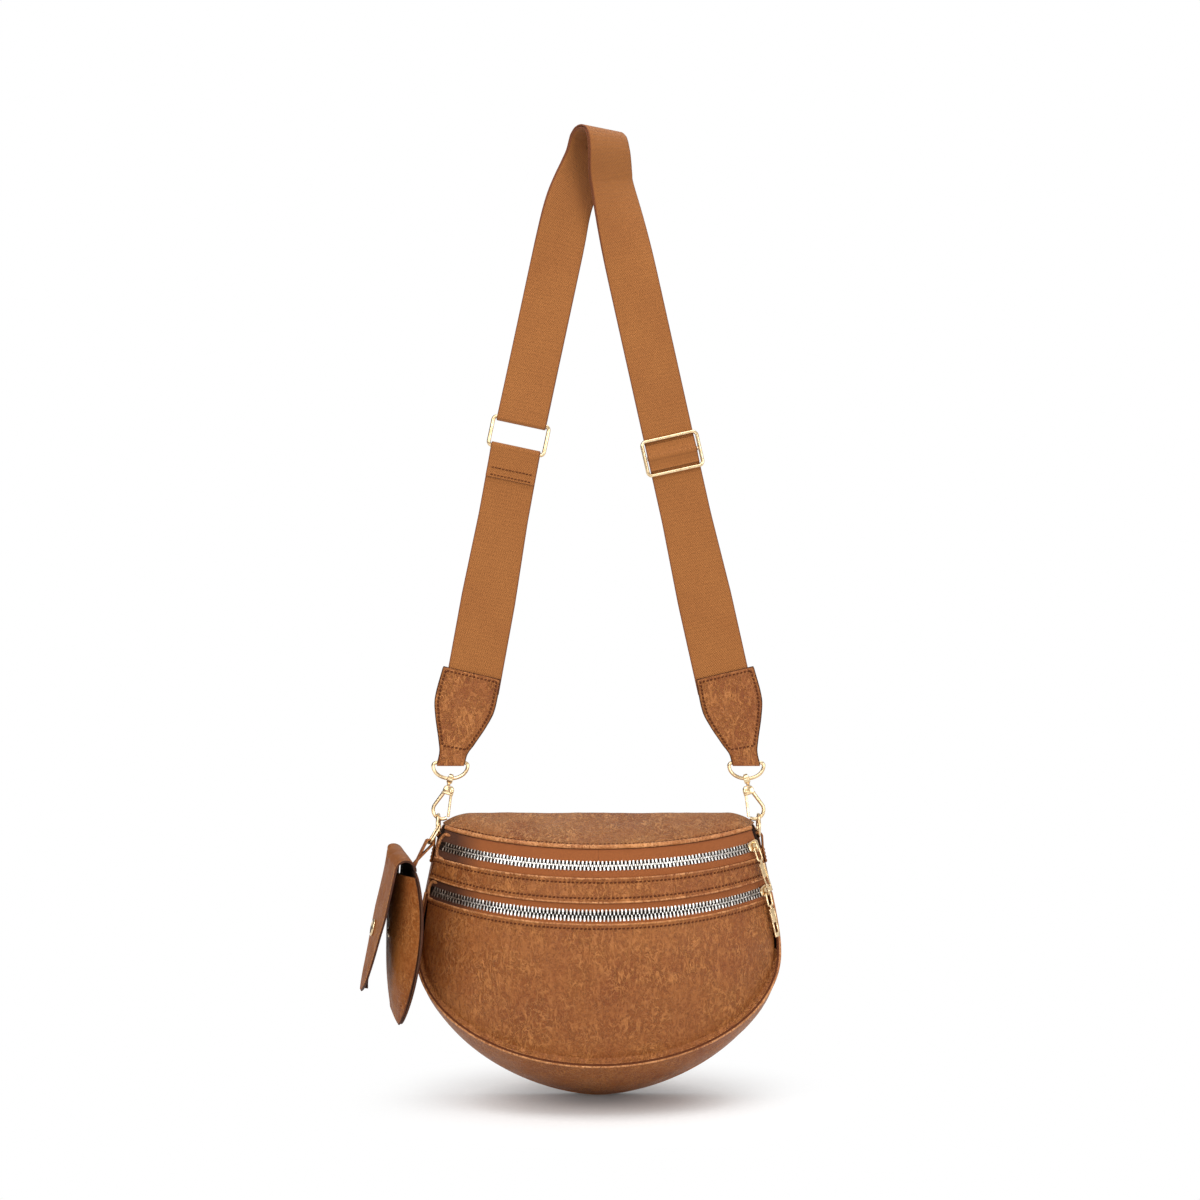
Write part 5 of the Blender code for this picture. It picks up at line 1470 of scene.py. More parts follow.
def zip_slider(name, track):
    """Two plates joined by a blade, with a bridge on the outer one that the pull hangs from."""
    angle = track.half_angle - SLIDER_LENGTH / 2 / ZIP_RADIUS
    down, along, out = track.axes(angle)
    work = bmesh.new()
    slider_plate(work, track, angle, PLATE_LIFT, SLIDER_PLATE, 1.0)
    slider_plate(work, track, angle, -PLATE_LIFT, SLIDER_PLATE, SLIDER_INNER_WIDTH / SLIDER_WIDTH)
    add_block(work, track.point(angle + SLIDER_LENGTH / 4 / ZIP_RADIUS), (down, along, out),
              (SLIDER_BLADE * 2, SLIDER_LENGTH / 2, 2 * PLATE_LIFT))
    foot = PLATE_LIFT + SLIDER_PLATE / 2
    reach = (BRIDGE_SPAN - BRIDGE_BAR) / 2
    rise = PLATE_LIFT + BRIDGE_HEIGHT - BRIDGE_BAR / 2 - foot
    route = [track.point(angle, -reach, PLATE_LIFT)]
    for turn in spread(math.pi, 0, 16):
        bow = math.sin(turn) ** 0.45 if turn not in (0, math.pi) else 0
        lean = math.copysign(abs(math.cos(turn)) ** 0.6, math.cos(turn))
        route.append(track.point(angle, lean * reach, foot + rise * bow))
    route.append(track.point(angle, reach, PLATE_LIFT))
    section = chamfered(BRIDGE_BAR, BRIDGE_BAR * 0.5, BRIDGE_BAR * 0.7, BRIDGE_BAR * 0.25)
    rings = []
    for point, tangent in zip(route, tangents(route)):
        lift = tangent.cross(along).normalized()
        rings.append([point + a * along + b * lift for a, b in section])
    skin_rings(work, rings)
    metal_piece(name + "_slider_body", work, name + "_slider", [name + "_slider"])
    return angle


def zip_puller(name, track, angle):
    """Wire link on the slider's bridge, and a slotted bar with a neck that hangs from it."""
    down, along, out = track.axes(angle)
    bridge_under = PLATE_LIFT + BRIDGE_HEIGHT - BRIDGE_BAR - GAP - PULL_WIRE
    post_drop = (BRIDGE_SPAN - BRIDGE_BAR) / 2 - GAP - PULL_WIRE
    pivot = track.point(angle, post_drop, bridge_under)
    points = loop_points(pivot + LINK_LENGTH / 2 * down, along, down, LINK_WIDTH / 2,
                         LINK_LENGTH / 2, PULL_WIRE * 1.8, 6)
    gold_wire(name + "_wire_link", points, PULL_WIRE, out, name + "_pull_link", name + "_pull_link", 12)
    hang = pivot + LINK_LENGTH * down
    eye = PULL_WIRE + GAP
    start, finish = 2 * eye, 2 * eye + BAR_LENGTH
    rail = (BAR_WIDTH - BAR_SLOT_WIDTH) / 2
    slot_low = finish - BAR_SLOT_LENGTH / 2
    slot_high = slot_low - BAR_SLOT_LENGTH
    work = bmesh.new()

    def block(aside, drop, lift, width, length, thickness, corner=0.22):
        add_block(work, hang + aside * along + drop * down + lift * out, (along, down, out),
                  (width, length, thickness), corner)

    block(0, eye * 1.4, 0, LINK_WIDTH - 3 * PULL_WIRE, 3.2 * eye, BAR_THICKNESS, 0.2)
    for low, high in ((start, slot_high), (slot_low, finish)):
        block(0, (low + high) / 2, 0, BAR_WIDTH, high - low, BAR_THICKNESS)
    for sign in (-1, 1):
        block(sign * (BAR_WIDTH - rail) / 2, (slot_high + slot_low) / 2, 0, rail,
              slot_low - slot_high + rail, BAR_THICKNESS)
        block(sign * (BAR_WIDTH - BAR_BEAD) / 2, (start + slot_high) / 2, BAR_THICKNESS * 0.42, BAR_BEAD,
              (slot_high - start) * 0.96, BAR_BEAD_RISE, 0.3)
    metal_piece(name + "_puller_bar", work, name + "_puller", [name + "_puller"])


# Side rings and snap hooks

CAST_SWELL = 1.22
EYE_BAND = 0.0044
EYE_BAND_RISE = EYE_BAND / 5
TAB_SEAM_SHIFT = 0.0017
EYE_NARROWING = 0.30
STEM_PROFILE = ((0.55, 0), (0.75, 0.0004), (0.55, 0.0008), (0.45, EYE_STEM), (0.6, EYE_STEM + 0.0006))
HOOK_OUTLINE = ((-1, 0), (-1, 0.55), (-0.86, 0.82), (-0.5, 1), (0.5, 1), (0.86, 0.82), (1, 0.55), (1, 0.1),
                (0.8, 0))
HOOK_LAYERS = ((-0.5, 0.86), (-0.4, 0.96), (-0.2, 1), (0.2, 1), (0.4, 0.96), (0.5, 0.86))
HOOK_BEND_START = math.radians(18)
HOOK_BEND_END = math.radians(-136)
RIVET_PROFILE = ((1, 0), (1, RIVET_PROUD * 0.5), (0.82, RIVET_PROUD), (0.4, RIVET_PROUD * 1.3))
RIVET_SINK = 0.0002


def ring_centre(frame):
    """Middle of the side ring, which hangs in the bend of the hook."""
    return frame.grip + (HOOK_WIRE + HOOK_SLACK + RING_WIRE - RING_RADIUS) * UP


def side_ring(frame, word):
    """Wire ring that the snap hook holds."""
    gold_wire("ring_" + word, circle(ring_centre(frame), BACK, UP, RING_RADIUS, 56),
              RING_WIRE * CAST_SWELL, RIGHT, "bag", "side_ring_" + word, 14)


def side_tab(frame, word):
    """Loop sewn to the gusset that turns round the side ring's foot."""
    side = frame.side
    foot = ring_centre(frame) - RING_RADIUS * UP
    share = (SIDE_DEPTH - HOOK_DEPTH) / SIDE_DEPTH
    off = side * (SIDE_TAB_THICKNESS / 2 + GAP)
    sewn = []
    for height in spread(GUSSET_TOP - SIDE_TAB_LENGTH * 0.6, GUSSET_TOP, 8):
        surface = side_point(("rise", height, side), share)
        sewn.append(Vector((surface.x + off, 0, surface.z)))
    reach = SIDE_TAB_EYE + SIDE_TAB_THICKNESS / 2
    points = sewn + [foot + reach * aim(turn, side * RIGHT, UP) for turn in spread(0, SIDE_TAB_TURN, 16)]
    normals = [tangent.cross(BACK).normalized() for tangent in tangents(points)]
    band_piece("tab_loop_" + word, points, [BACK] * len(points), normals, SIDE_TAB_WIDTH,
               SIDE_TAB_THICKNESS, LEATHER, "bag", ["side_tab_" + word])
    rows = []
    for drift in (-TAB_SEAM_SHIFT, TAB_SEAM_SHIFT):
        line = [point + drift * BACK + side * SIDE_TAB_THICKNESS / 2 * RIGHT for point in sewn]
        rows.append((line, [side * RIGHT] * len(line)))
    stitches("tab_stitches_" + word, rows, "bag", pitch=0.0026, length=0.0018)


def swivel(frame, word, stem_low):
    """Flat eye round the D ring, narrower at its top, on a short turned stem."""
    rings = []
    for turn in (math.tau * step / 32 for step in range(32)):
        away = aim(turn, BACK, frame.up)
        width = EYE_BAND / 2 * (1 - EYE_NARROWING * max(math.sin(turn), 0))
        rings.append([frame.tab_ring + EYE_RADIUS * away + a * frame.out + b * away
                      for a, b in chamfered(width, EYE_BAND_RISE, width * 0.8, EYE_BAND_RISE * 0.4)])
    work = skinned(rings, True)
    dome(work, frame.point(0, stem_low), frame.out, BACK, frame.up, EYE_STEM, STEM_PROFILE, 20)
    metal_piece("swivel_" + word, work, "eye_" + word, ["swivel_eye_" + word])


def hook_body(frame, word, low):
    """Cast block with rounded shoulders, and the hook that bends out of it."""
    half = HOOK_BODY_WIDTH / 2
    rings = []
    for depth, shrink in HOOK_LAYERS:
        rings.append([frame.point(-HOOK_SHIFT + a * half * shrink,
                                  low + HOOK_BODY_HEIGHT * (0.5 + (b - 0.5) * shrink))
                      + depth * HOOK_BODY_THICKNESS * BACK for a, b in HOOK_OUTLINE])
    work = skinned(rings)
    shoulder = -HOOK_SHIFT + HOOK_BODY_WIDTH / 2 - HOOK_WIRE
    bow = (HOOK_REACH + HOOK_GATE_REACH + HOOK_WIRE) / 2
    route = [(shoulder, low + HOOK_WIRE), (shoulder + HOOK_WIRE / 2, low - HOOK_WIRE)]
    for turn in spread(HOOK_BEND_START, HOOK_BEND_END, 9):
        route.append((HOOK_REACH - bow + bow * math.cos(turn), bow + bow * math.sin(turn)))
    bend = smooth_path([frame.point(out, rise) for out, rise in route], 6)
    radii = [HOOK_WIRE * (1.4 - 0.2 * min(index / 12, 1)) for index in range(len(bend))]
    add_tube(work, bend, HOOK_WIRE, BACK, False, 12, radii)
    metal_piece("hook_body_" + word, work, "hook_" + word, ["hook_" + word])


def hook_gate(frame, word, body_low):
    """Gate bar from its rivet in the block down to the hook's tip."""
    slot_top = body_low + HOOK_BODY_HEIGHT * GATE_SEAT_SHARE
    high = frame.point(GATE_OUT, slot_top - GATE_WIDTH / 2 - 2 * GAP)
    low = frame.point(-HOOK_GATE_REACH, 2 * HOOK_WIRE + GATE_WIDTH / 2 + GAP)
    along = (high - low).normalized()
    work = bmesh.new()
    add_block(work, (high + low) / 2, (BACK.cross(along).normalized(), along, BACK),
              (GATE_WIDTH, (high - low).length + GATE_WIDTH / 2, GATE_THICKNESS), 0.24)
    metal_piece("hook_gate_" + word, work, "gate_" + word, ["gate_" + word])
    work = bmesh.new()
    dome(work, high - (HOOK_BODY_THICKNESS / 2 - RIVET_SINK) * BACK, RIGHT, UP, -BACK, RIVET_RADIUS,
         RIVET_PROFILE, 24)
    metal_piece("hook_rivet_" + word, work, "hook_" + word, ["rivet_" + word])


def hang_hook(side, word):
    """One side's fittings, from the sewn loop on the bag up to the strap's D ring."""
    frame = HookFrame(side)
    side_ring(frame, word)
    side_tab(frame, word)
    stem_low = frame.length - EYE_RADIUS - EYE_STEM
    swivel(frame, word, stem_low)
    body_low = stem_low - GAP - HOOK_BODY_HEIGHT
    hook_body(frame, word, body_low)
    hook_gate(frame, word, body_low)


# Strap

WEB_SWELL = 0.09
WEB_SWELL_TOP = -0.285
WEB_SWELL_LENGTH = 0.06
FOLD_SEAM_INSET = 0.003
FOLD_SEAM_RUNS = (0.0158, 0.0212)
ROD_FLARE = 0.45
ROD_FLARE_WIDTH = 0.05
TAB_ROUND = 0.012
TAB_SEAM_INSET = 0.0024
TAB_SEAM_FOOT = 0.035
TAB_SEAM_TOP = 0.80
PAINT_PROUD = 0.0001


def smooth_frames(points, sides, steps, normals=None):
    """Smoothed line with its sides and normals."""
    ways = (sides, normals or square_to(points, sides))
    return [smooth_path(points, steps)] + [[way.normalized() for way in smooth_path(given, steps)]
                                           for given in ways]


def web(name, points, sides, steps, body, node, normals=None):
    """Webbing along a smoothed line, a little wider low down, where it lies nearer."""
    path, across, ups = smooth_frames(points, sides, steps, normals)
    across = [side * (1 + WEB_SWELL * min(max((WEB_SWELL_TOP - point.z) / WEB_SWELL_LENGTH, 0), 1))
              for side, point in zip(across, path)]
    band_piece(name, path, across, ups, WEB_WIDTH, WEB_THICKNESS, WEBBING, body, [node])


def long_webbing():
    points = strap_base()
    sides, normals = strap_frames(points)
    outer = [point + spread_at_ring(point) * normal for point, normal in zip(points, normals)]
    web("webbing_outer", outer, sides, 5, "strap", "main_webbing", normals)

    adjuster = adjuster_place()[0]
    inner = [(point - spread_at_ring(point) * normal, side)
             for point, side, normal in zip(points, sides, normals)
             if point.x < adjuster.x or point.z > adjuster.z + ADJUSTER_INNER_HEIGHT]
    inner = [entry for entry in inner if entry[0].z > adjuster.z or entry[0].x < 0]
    bar, side, normal = points[-1], sides[-1], normals[-1]
    reach = wrap_radius(BUCKLE_WIRE)
    for turn in spread(0, math.pi - GAP / reach, 12)[1:]:
        inner.append((bar - reach * aim(turn, normal, BUCKLE_UP), side))
    line = [point for point, _ in inner]
    line_sides = [entry_side for _, entry_side in inner]
    web("webbing_return", line, line_sides, 5, "strap", "return_webbing")


def rect_ring_piece():
    points = loop_points(BUCKLE_MIDDLE, BUCKLE_SIDE, BUCKLE_UP, BUCKLE_INNER_WIDTH / 2 + BUCKLE_WIRE,
                         RING_BAR_REACH, BUCKLE_WIRE * 2, 8)
    gold_wire("rect_wire", points, BUCKLE_WIRE, BACK, "strap", "rect_ring")


def lower_webbing():
    """Short strip from the left tab up to the rectangular ring, folded over it and sewn."""
    bar = BUCKLE_MIDDLE - RING_BAR_REACH * BUCKLE_UP
    foot = strap_point(-TAB_TOP_X, TAB_TOP_HEIGHT - TAB_OVERLAP)
    line_up = (bar - foot).normalized()
    reach = wrap_radius(BUCKLE_WIRE)
    apart = HALF_LAYERS
    points = spread_points(foot, bar - FOLD_LENGTH * line_up, 10)
    points.append(bar - FOLD_LENGTH / 2 * line_up + apart * BACK)
    for turn in spread(-math.pi / 8, math.pi * 9 / 8, 16):
        points.append(bar + reach * aim(turn, BACK, line_up))
    points.append(bar - FOLD_LENGTH / 2 * line_up - apart * BACK)
    points.append(bar - FOLD_LENGTH * line_up - 2 * apart * BACK)
    web("webbing_short", points, [BUCKLE_SIDE] * len(points), 3, "strap", "short_webbing")
    rows = []
    for run in FOLD_SEAM_RUNS:
        lift = 2.2 * apart + WEB_THICKNESS / 2
        middle = bar - run * line_up - lift * BACK
        row = [middle + share * (WEB_WIDTH / 2 - FOLD_SEAM_INSET) * BUCKLE_SIDE
               for share in spread(-1, 1, 12)]
        rows.append((row, [-BACK] * len(row)))
    stitches("fold_stitches", rows, "strap", pitch=0.0025, length=0.0019, radius=0.0004)


def adjuster_pieces():
    """Wire frame, its centre rod and the webbing's end that is folded over the rod."""
    centre, side, up, normal = adjuster_place()
    lift = WEB_THICKNESS / 2 + GAP + ADJUSTER_WIRE
    middle = centre + lift * normal
    points = loop_points(middle, side, up, ADJUSTER_INNER_WIDTH / 2 + ADJUSTER_WIRE,
                         ADJUSTER_INNER_HEIGHT / 2 + ADJUSTER_WIRE, ADJUSTER_WIRE * 2.5, 8)
    gold_wire("adjuster_wire", points, ADJUSTER_WIRE, normal, "adjuster", "adjuster_frame")
    half = (ADJUSTER_INNER_WIDTH / 2 - GAP) * side
    line = spread_points(middle - half, middle + half, 24)
    radii = [ADJUSTER_BAR_RADIUS * (1 + ROD_FLARE * dip(abs(share), 1, ROD_FLARE_WIDTH))
             for share in spread(-1, 1, 24)]
    gold_wire("adjuster_rod", line, ADJUSTER_BAR_RADIUS, normal, "adjuster", "adjuster_bar",
              closed=False, radii=radii)
    reach = wrap_radius(ADJUSTER_BAR_RADIUS)
    low = (WEB_THICKNESS + GAP * 2) * normal
    line = [centre + BAR_LOOP_LENGTH / 2 * up + low, centre + BAR_LOOP_LENGTH / 3 * up + low]
    for turn in spread(math.radians(150), math.radians(30), 9):
        line.append(middle + reach * aim(turn, -up, normal))
    line += [centre - BAR_LOOP_LENGTH / 3 * up + low, centre - BAR_LOOP_LENGTH / 2 * up + low]
    web("webbing_hump", line, [side] * len(line), 4, "adjuster", "bar_webbing")


def tab_ring_piece(side, word):
    foot = place(side * TAB_BOTTOM_X, HOOK_DEPTH, TAB_RING_FOOT)
    bar = foot + TAB_RING_DROP * UP
    corner = TAB_RING_WIRE * 2
    bow = TAB_RING_DROP - corner
    points = []
    for sign, first, second in ((1, math.pi / 2, 0), (-1, 0, math.pi / 2)):
        middle = bar + sign * (TAB_RING_HALF_WIDTH - corner) * RIGHT - corner * UP
        for turn in spread(first, second, 8):
            points.append(middle + corner * aim(turn, sign * RIGHT, UP))
        if sign > 0:
            for turn in spread(0, -math.pi, 40)[1:-1]:
                points.append(bar - corner * UP + aim(turn, TAB_RING_HALF_WIDTH * RIGHT, bow * UP))
    gold_wire("d_ring_" + word, points, TAB_RING_WIRE * CAST_SWELL, BACK, "tab_ring_" + word,
              "tab_ring_" + word)
    return bar


def tab_width_share(share):
    """Half width along the tab, on a smooth curve through the frame's outline."""
    shares = [entry[0] for entry in TAB_SHAPE_SHARES]
    widths = [entry[1] for entry in TAB_SHAPE_SHARES]
    index = max(index for index in range(len(shares) - 1) if shares[index] <= share or index == 0)
    move = (share - shares[index]) / (shares[index + 1] - shares[index])
    slopes = []
    for spot in range(len(shares)):
        low, high = max(spot - 1, 0), min(spot + 1, len(shares) - 1)
        slopes.append((widths[high] - widths[low]) / (shares[high] - shares[low]))
    slopes[-1] = 0
    run = shares[index + 1] - shares[index]
    return ((2 * move ** 3 - 3 * move ** 2 + 1) * widths[index]
            + (move ** 3 - 2 * move ** 2 + move) * run * slopes[index]
            + (3 * move ** 2 - 2 * move ** 3) * widths[index + 1]
            + (move ** 3 - move ** 2) * run * slopes[index + 1])


def tab_frame(side, bar, share):
    top = strap_point(side * TAB_TOP_X, TAB_TOP_HEIGHT)
    foot = bar - TAB_THICKNESS / 2 * UP
    lean = (foot - top).normalized()
    across = BACK.cross(lean).normalized()
    if across.x < 0:
        across.negate()
    level = max((share - TAB_TURN_SHARE) / (1 - TAB_TURN_SHARE), 0)
    direction = across.lerp(RIGHT, level).normalized()
    return top.lerp(foot, share), direction, TAB_WIDTH / 2 * tab_width_share(share)


def tab_line(side, bar, shares, sign, inset):
    """Line along one edge of a tab, set in from it."""
    line = []
    for share in shares:
        middle, direction, width = tab_frame(side, bar, share)
        line.append(middle + sign * (width - inset) * direction)
    return line


def tab_leather(side, word, bar):
    """Sewn leather over the webbing's end, pressed thin at its edges and along its seams."""
    rings = []
    for share in [0, 0.004, TAB_ROUND] + spread(0.03, 0.97, 40) + [0.985, 0.996, 1]:
        middle, direction, width = tab_frame(side, bar, share)
        end = min(share, 1 - share)
        rounding = math.sqrt(1 - (1 - min(end / TAB_ROUND, 1)) ** 2)
        thick = TAB_THICKNESS / 2 * (0.55 + 0.45 * rounding)
        ring = []
        for sign in (-1, 1):
            for across_share in spread(sign, -sign, 12):
                rim = math.sqrt(max(1 - max(abs(across_share) - 0.90, 0) ** 2 / 0.0110, 0.3))
                pad = thick * rim * (1 - 0.10 * dip(abs(across_share), 0.84, 0.05))
                spot = middle + across_share * width * direction
                ring.append(spot + sign * (pad + noise.noise(spot * 60) * 0.0002) * BACK)
        rings.append(ring)
    closed_piece("tab_leather_" + word, skinned(rings), LEATHER, "strap",
                 ["strap_tab_" + word])


def tab_edge(side, word, bar):
    """Dark edge paint along the tab's two sides."""
    shares = spread(0.002, 0.985, 60)
    loop = tab_line(side, bar, shares, 1, -PAINT_PROUD)[::-1] + tab_line(side, bar, shares, -1, -PAINT_PROUD)
    half = TAB_THICKNESS / 2
    rings = []
    for point, tangent in zip(loop, tangents(loop)):
        away = tangent.cross(BACK).normalized()
        rings.append([point + a * away + b * BACK for a, b in
                      ((0.0003, -half * 0.6), (0.0003, half * 0.6), (0.0001, half * 0.8),
                       (-0.0003, half * 0.8), (-0.0003, -half * 0.8), (0.0001, -half * 0.8))])
    closed_piece("tab_edge_" + word, skinned(rings), EDGE_PAINT, "strap", (), 30)


def tab_seam(side, word, bar):
    """A U of stitches on each face of the tab, closed by a row across its neck."""
    shares = spread(TAB_SEAM_FOOT, TAB_SEAM_TOP, 44)
    line = (tab_line(side, bar, shares[::-1], -1, TAB_SEAM_INSET)
            + tab_line(side, bar, shares, 1, TAB_SEAM_INSET))
    rows = []
    for face in (-1, 1):
        lift = face * (TAB_THICKNESS / 2 + PAINT_PROUD) * BACK
        for points in (line, spread_points(line[0], line[-1], 10)):
            rows.append(([point + lift for point in points], [face * BACK] * len(points)))
    stitches("tab_seam_" + word, rows, "strap", pitch=0.0028, length=0.0021)


def hang_strap():
    long_webbing()
    rect_ring_piece()
    lower_webbing()
    adjuster_pieces()
    for side, word in ((-1, "left"), (1, "right")):
        bar = tab_ring_piece(side, word)
        tab_leather(side, word, bar)
        tab_edge(side, word, bar)
        tab_seam(side, word, bar)

# Pouch

FLAP_CURL = 0.0055
CURL_START = 17
CURL_ROWS = 14
NEAR_SIDE_SWING = 0.0085
CORNER_TURN = 0.94


def swung(point, share, drop):
    """The pouch's near side curls out a little, as a soft pouch's does."""
    swing = NEAR_SIDE_SWING * max(share, 0) ** 2 * math.sin(math.pi * min(drop / POUCH_HEIGHT, 1) ** 0.8)
    return point + swing * RIGHT


def rounded_steps(start, end, count):
    """Steps that grow closer towards the end, for a round corner; they stop before slivers."""
    return [start + (end - start) * math.sin(math.pi / 2 * share)
            for share in spread(0, CORNER_TURN, count)[1:]]


def pouch_panel(name, rows, frame, sign, body, node, relief, edge_round=0.45):
    """Leather of the pouch with painted edges, facing out of the pouch's front or its back."""
    def outward(point):
        return sign * frame.out

    rows = relieved(rows, outward, relief)
    panel(name, rows, POUCH_LEATHER, outward, POUCH_TAN, body, [node], EDGE_PAINT, LINING,
          edge_round)
    return rows


def side_seams(name, rows, normal, body, material):
    """Stitches down both sides of a panel."""
    lines = [[row[column] for row in rows] for column in (2, -3)]
    stitches(name, [(line, [normal] * len(line)) for line in lines], body, material)


def pouch_shell(frame):
    corner = POUCH_HEIGHT - POUCH_CORNER_HEIGHT
    drops = spread(0, corner, 20) + rounded_steps(corner, POUCH_HEIGHT, 12)
    back = [[swung(frame.point(share * pouch_half_width(drop), drop, -POUCH_LEATHER), share, drop)
             for share in spread(-1, 1, 40)] for drop in drops]
    back = pouch_panel("pouch_rear", back, frame, -1, "pouch", "pouch_back",
                       lambda down, rest, share, point: soft_relief(point, 21, 0.35))
    front = [[swung(pouch_front_point(frame, share, drop), share, drop) for share in spread(-1, 1, 44)]
             for drop in [POUCH_MOUTH_DROP] + drops[2:]]

    def relief(down, rest, share, point):
        return soft_relief(point, 23, 0.6) - 0.0004 * dip(abs(2 * share - 1), 0.93, 0.03)

    pouch_panel("pouch_face", front, frame, 1, "pouch", "pouch_front", relief)
    side_seams("pouch_back_stitches", back[2:-3], -frame.out, "pouch", THREAD)


def pouch_flap_piece(frame):
    """Flap from its fold over the pouch's top to its tip; its far side curls in."""
    fold = [(frame.fold_point(turn), POUCH_WIDTH / 2) for turn in spread(0, math.pi - FLAP_ANGLE, 26)]
    shares = spread(0, FLAP_ROUND_SHARE, 30)[1:] + rounded_steps(FLAP_ROUND_SHARE, 1, 9)
    fold += [(frame.flap_point(share * FLAP_LENGTH), flap_half_width(share)) for share in shares]
    rows = []
    for index, (middle, half) in enumerate(fold):
        turn_in = min(max(index - CURL_START, 0) / CURL_ROWS, 1)
        curl = FLAP_CURL * turn_in * turn_in * (3 - 2 * turn_in)
        rows.append([middle + half * share * frame.across - curl * max(-share, 0) ** 4 * frame.flap_out
                     for share in spread(-1, 1, 40)])

    def relief(down, rest, share, point):
        near = abs(2 * share - 1)
        return (soft_relief(point, 31, 0.4) - 0.0004 * dip(near, 0.88, 0.03)
                - 0.0003 * dip(near, 0.95, 0.015))

    rows = pouch_panel("flap_leather", rows, frame, 1, "pouch_flap", "pouch_flap", relief, 0.35)
    side_seams("flap_stitches", rows[24:-5], frame.flap_out, "pouch_flap", PALE_THREAD)


SNAP_RING = ((0.94, -0.0003), (1, 0.0004), (0.98, 0.0011), (0.88, 0.0016), (0.72, 0.0017), (0.64, 0.0013),
             (0.6, 0.0009))
SNAP_MIDDLE = ((0.62, 0.0006), (0.6, 0.0011), (0.4, 0.0013), (0.1, 0.0014))
SNAP_STUD = ((1, 0), (0.95, 0.0005), (0.5, 0.0007), (0.45, 0.0011), (0.3, 0.0013))


def snap(frame):
    """Cap of the snap on the flap, a ring round a dark middle, and its stud on the front."""
    middle = frame.flap_point(SNAP_DROP) + GAP * frame.flap_out
    axes = (frame.across, frame.flap_down, frame.flap_out)
    work = bmesh.new()
    dome(work, middle, *axes, SNAP_RADIUS, SNAP_RING, 36)
    metal_piece("snap_ring", work, "pouch_flap", ["snap_cap"])
    work = bmesh.new()
    dome(work, middle, *axes, SNAP_RADIUS, SNAP_MIDDLE, 28)
    closed_piece("snap_middle", work, EDGE_PAINT, "pouch_flap")
    foot = pouch_front_point(frame, 0, SNAP_DROP)
    slope = pouch_front_point(frame, 0, SNAP_DROP + SNAP_RADIUS) - foot
    out = slope.cross(frame.across).normalized()
    work = bmesh.new()
    dome(work, foot, frame.across, slope.normalized(), out, SNAP_STUD_RADIUS, SNAP_STUD, 28)
    metal_piece("stud", work, "pouch", ["snap_stud"])


def pouch_hanging(frame):
    """Wire link from the left side ring, and the leather loop that holds it at the pouch's back."""
    hold = ring_centre(HookFrame(-1)) - RING_RADIUS * aim(LINK_HOLD_ANGLE, BACK, UP)
    target = frame.point(0, 0, -POUCH_LEATHER - LOOP_REACH)
    along = (target - hold).normalized()
    turned = (frame.across - along * along.dot(frame.across)).normalized()
    across = along.cross(turned).normalized()
    middle = hold + (CHAIN_LINK_LENGTH / 2 - (RING_WIRE + LINK_WIRE) * LINK_SEAT_SHARE - GAP) * along
    points = loop_points(middle, turned, along, CHAIN_LINK_WIDTH / 2, CHAIN_LINK_LENGTH / 2,
                         CHAIN_LINK_WIDTH / 3, 8)
    gold_wire("link_wire", points, LINK_WIRE, across, "pouch_link", "pouch_link", 12)
    hang = middle + CHAIN_LINK_LENGTH / 2 * along
    reach = LINK_WIRE + GAP * 3 + POUCH_LEATHER / 2
    near = -POUCH_LEATHER * 1.5 - GAP
    far = near - POUCH_LEATHER - GAP * 3
    line = [frame.point(0, POUCH_LOOP_LENGTH, near), frame.point(0, POUCH_LOOP_LENGTH / 4, near)]
    for turn in spread(-math.pi / 2, math.pi / 2, 10):
        line.append(hang + reach * aim(turn, -along, across))
    line += [frame.point(0, POUCH_LOOP_LENGTH / 4, far), frame.point(0, POUCH_LOOP_LENGTH, far)]
    sides = [frame.across] * 2 + [turned] * (len(line) - 4) + [frame.across] * 2
    line, sides, normals = smooth_frames(line, sides, 3)
    band_piece("loop_leather", line, sides, normals, POUCH_LOOP_WIDTH * 1.25, POUCH_LEATHER, LEATHER,
               "pouch", ["pouch_loop"])


def hang_pouch():
    frame = PouchFrame()
    pouch_hanging(frame)
    pouch_shell(frame)
    pouch_flap_piece(frame)
    snap(frame)


# Build

sew_bag()
for zip_name, zip_track in (("upper", UPPER), ("lower", LOWER)):
    zip_puller(zip_name, zip_track, zip_slider(zip_name, zip_track))
for hook_side, hook_word in ((-1, "left"), (1, "right")):
    hang_hook(hook_side, hook_word)
hang_strap()
hang_pouch()

# Stage

CAMERA_DISTANCE = 1.35
VIEW_SPAN = 0.888
VIEW_HEIGHT = 0.369
VIEW_SHIFT = 0.0012
FLOOR_SIZE = 8
FLOOR_HEIGHT = -STRAP_DROP - 0.0003
FLOOR_GRAIN_SCALE = 240
SOFT_LIGHT = 0.55
BAND_LIGHT = 0.9
# Places and brightness of the bands that the metal mirrors
LIGHT_BANDS = ((0.30, 0.10), (0.42, 0.85), (0.55, 1.0), (0.66, 0.25), (0.80, 0.95))


def mixed_shaders(tree, share, first, second):
    return add_node(tree, "ShaderNodeMixShader", [(0, share), (1, first), (2, second)]).outputs[0]


def distance_from_middle(tree, stretch):
    """Length of the stretched place, which makes oval rings round the bag's foot."""
    return add_node(tree, "ShaderNodeVectorMath", [(0, scaled_coords(tree, stretch))],
                    operation="LENGTH").outputs["Value"]


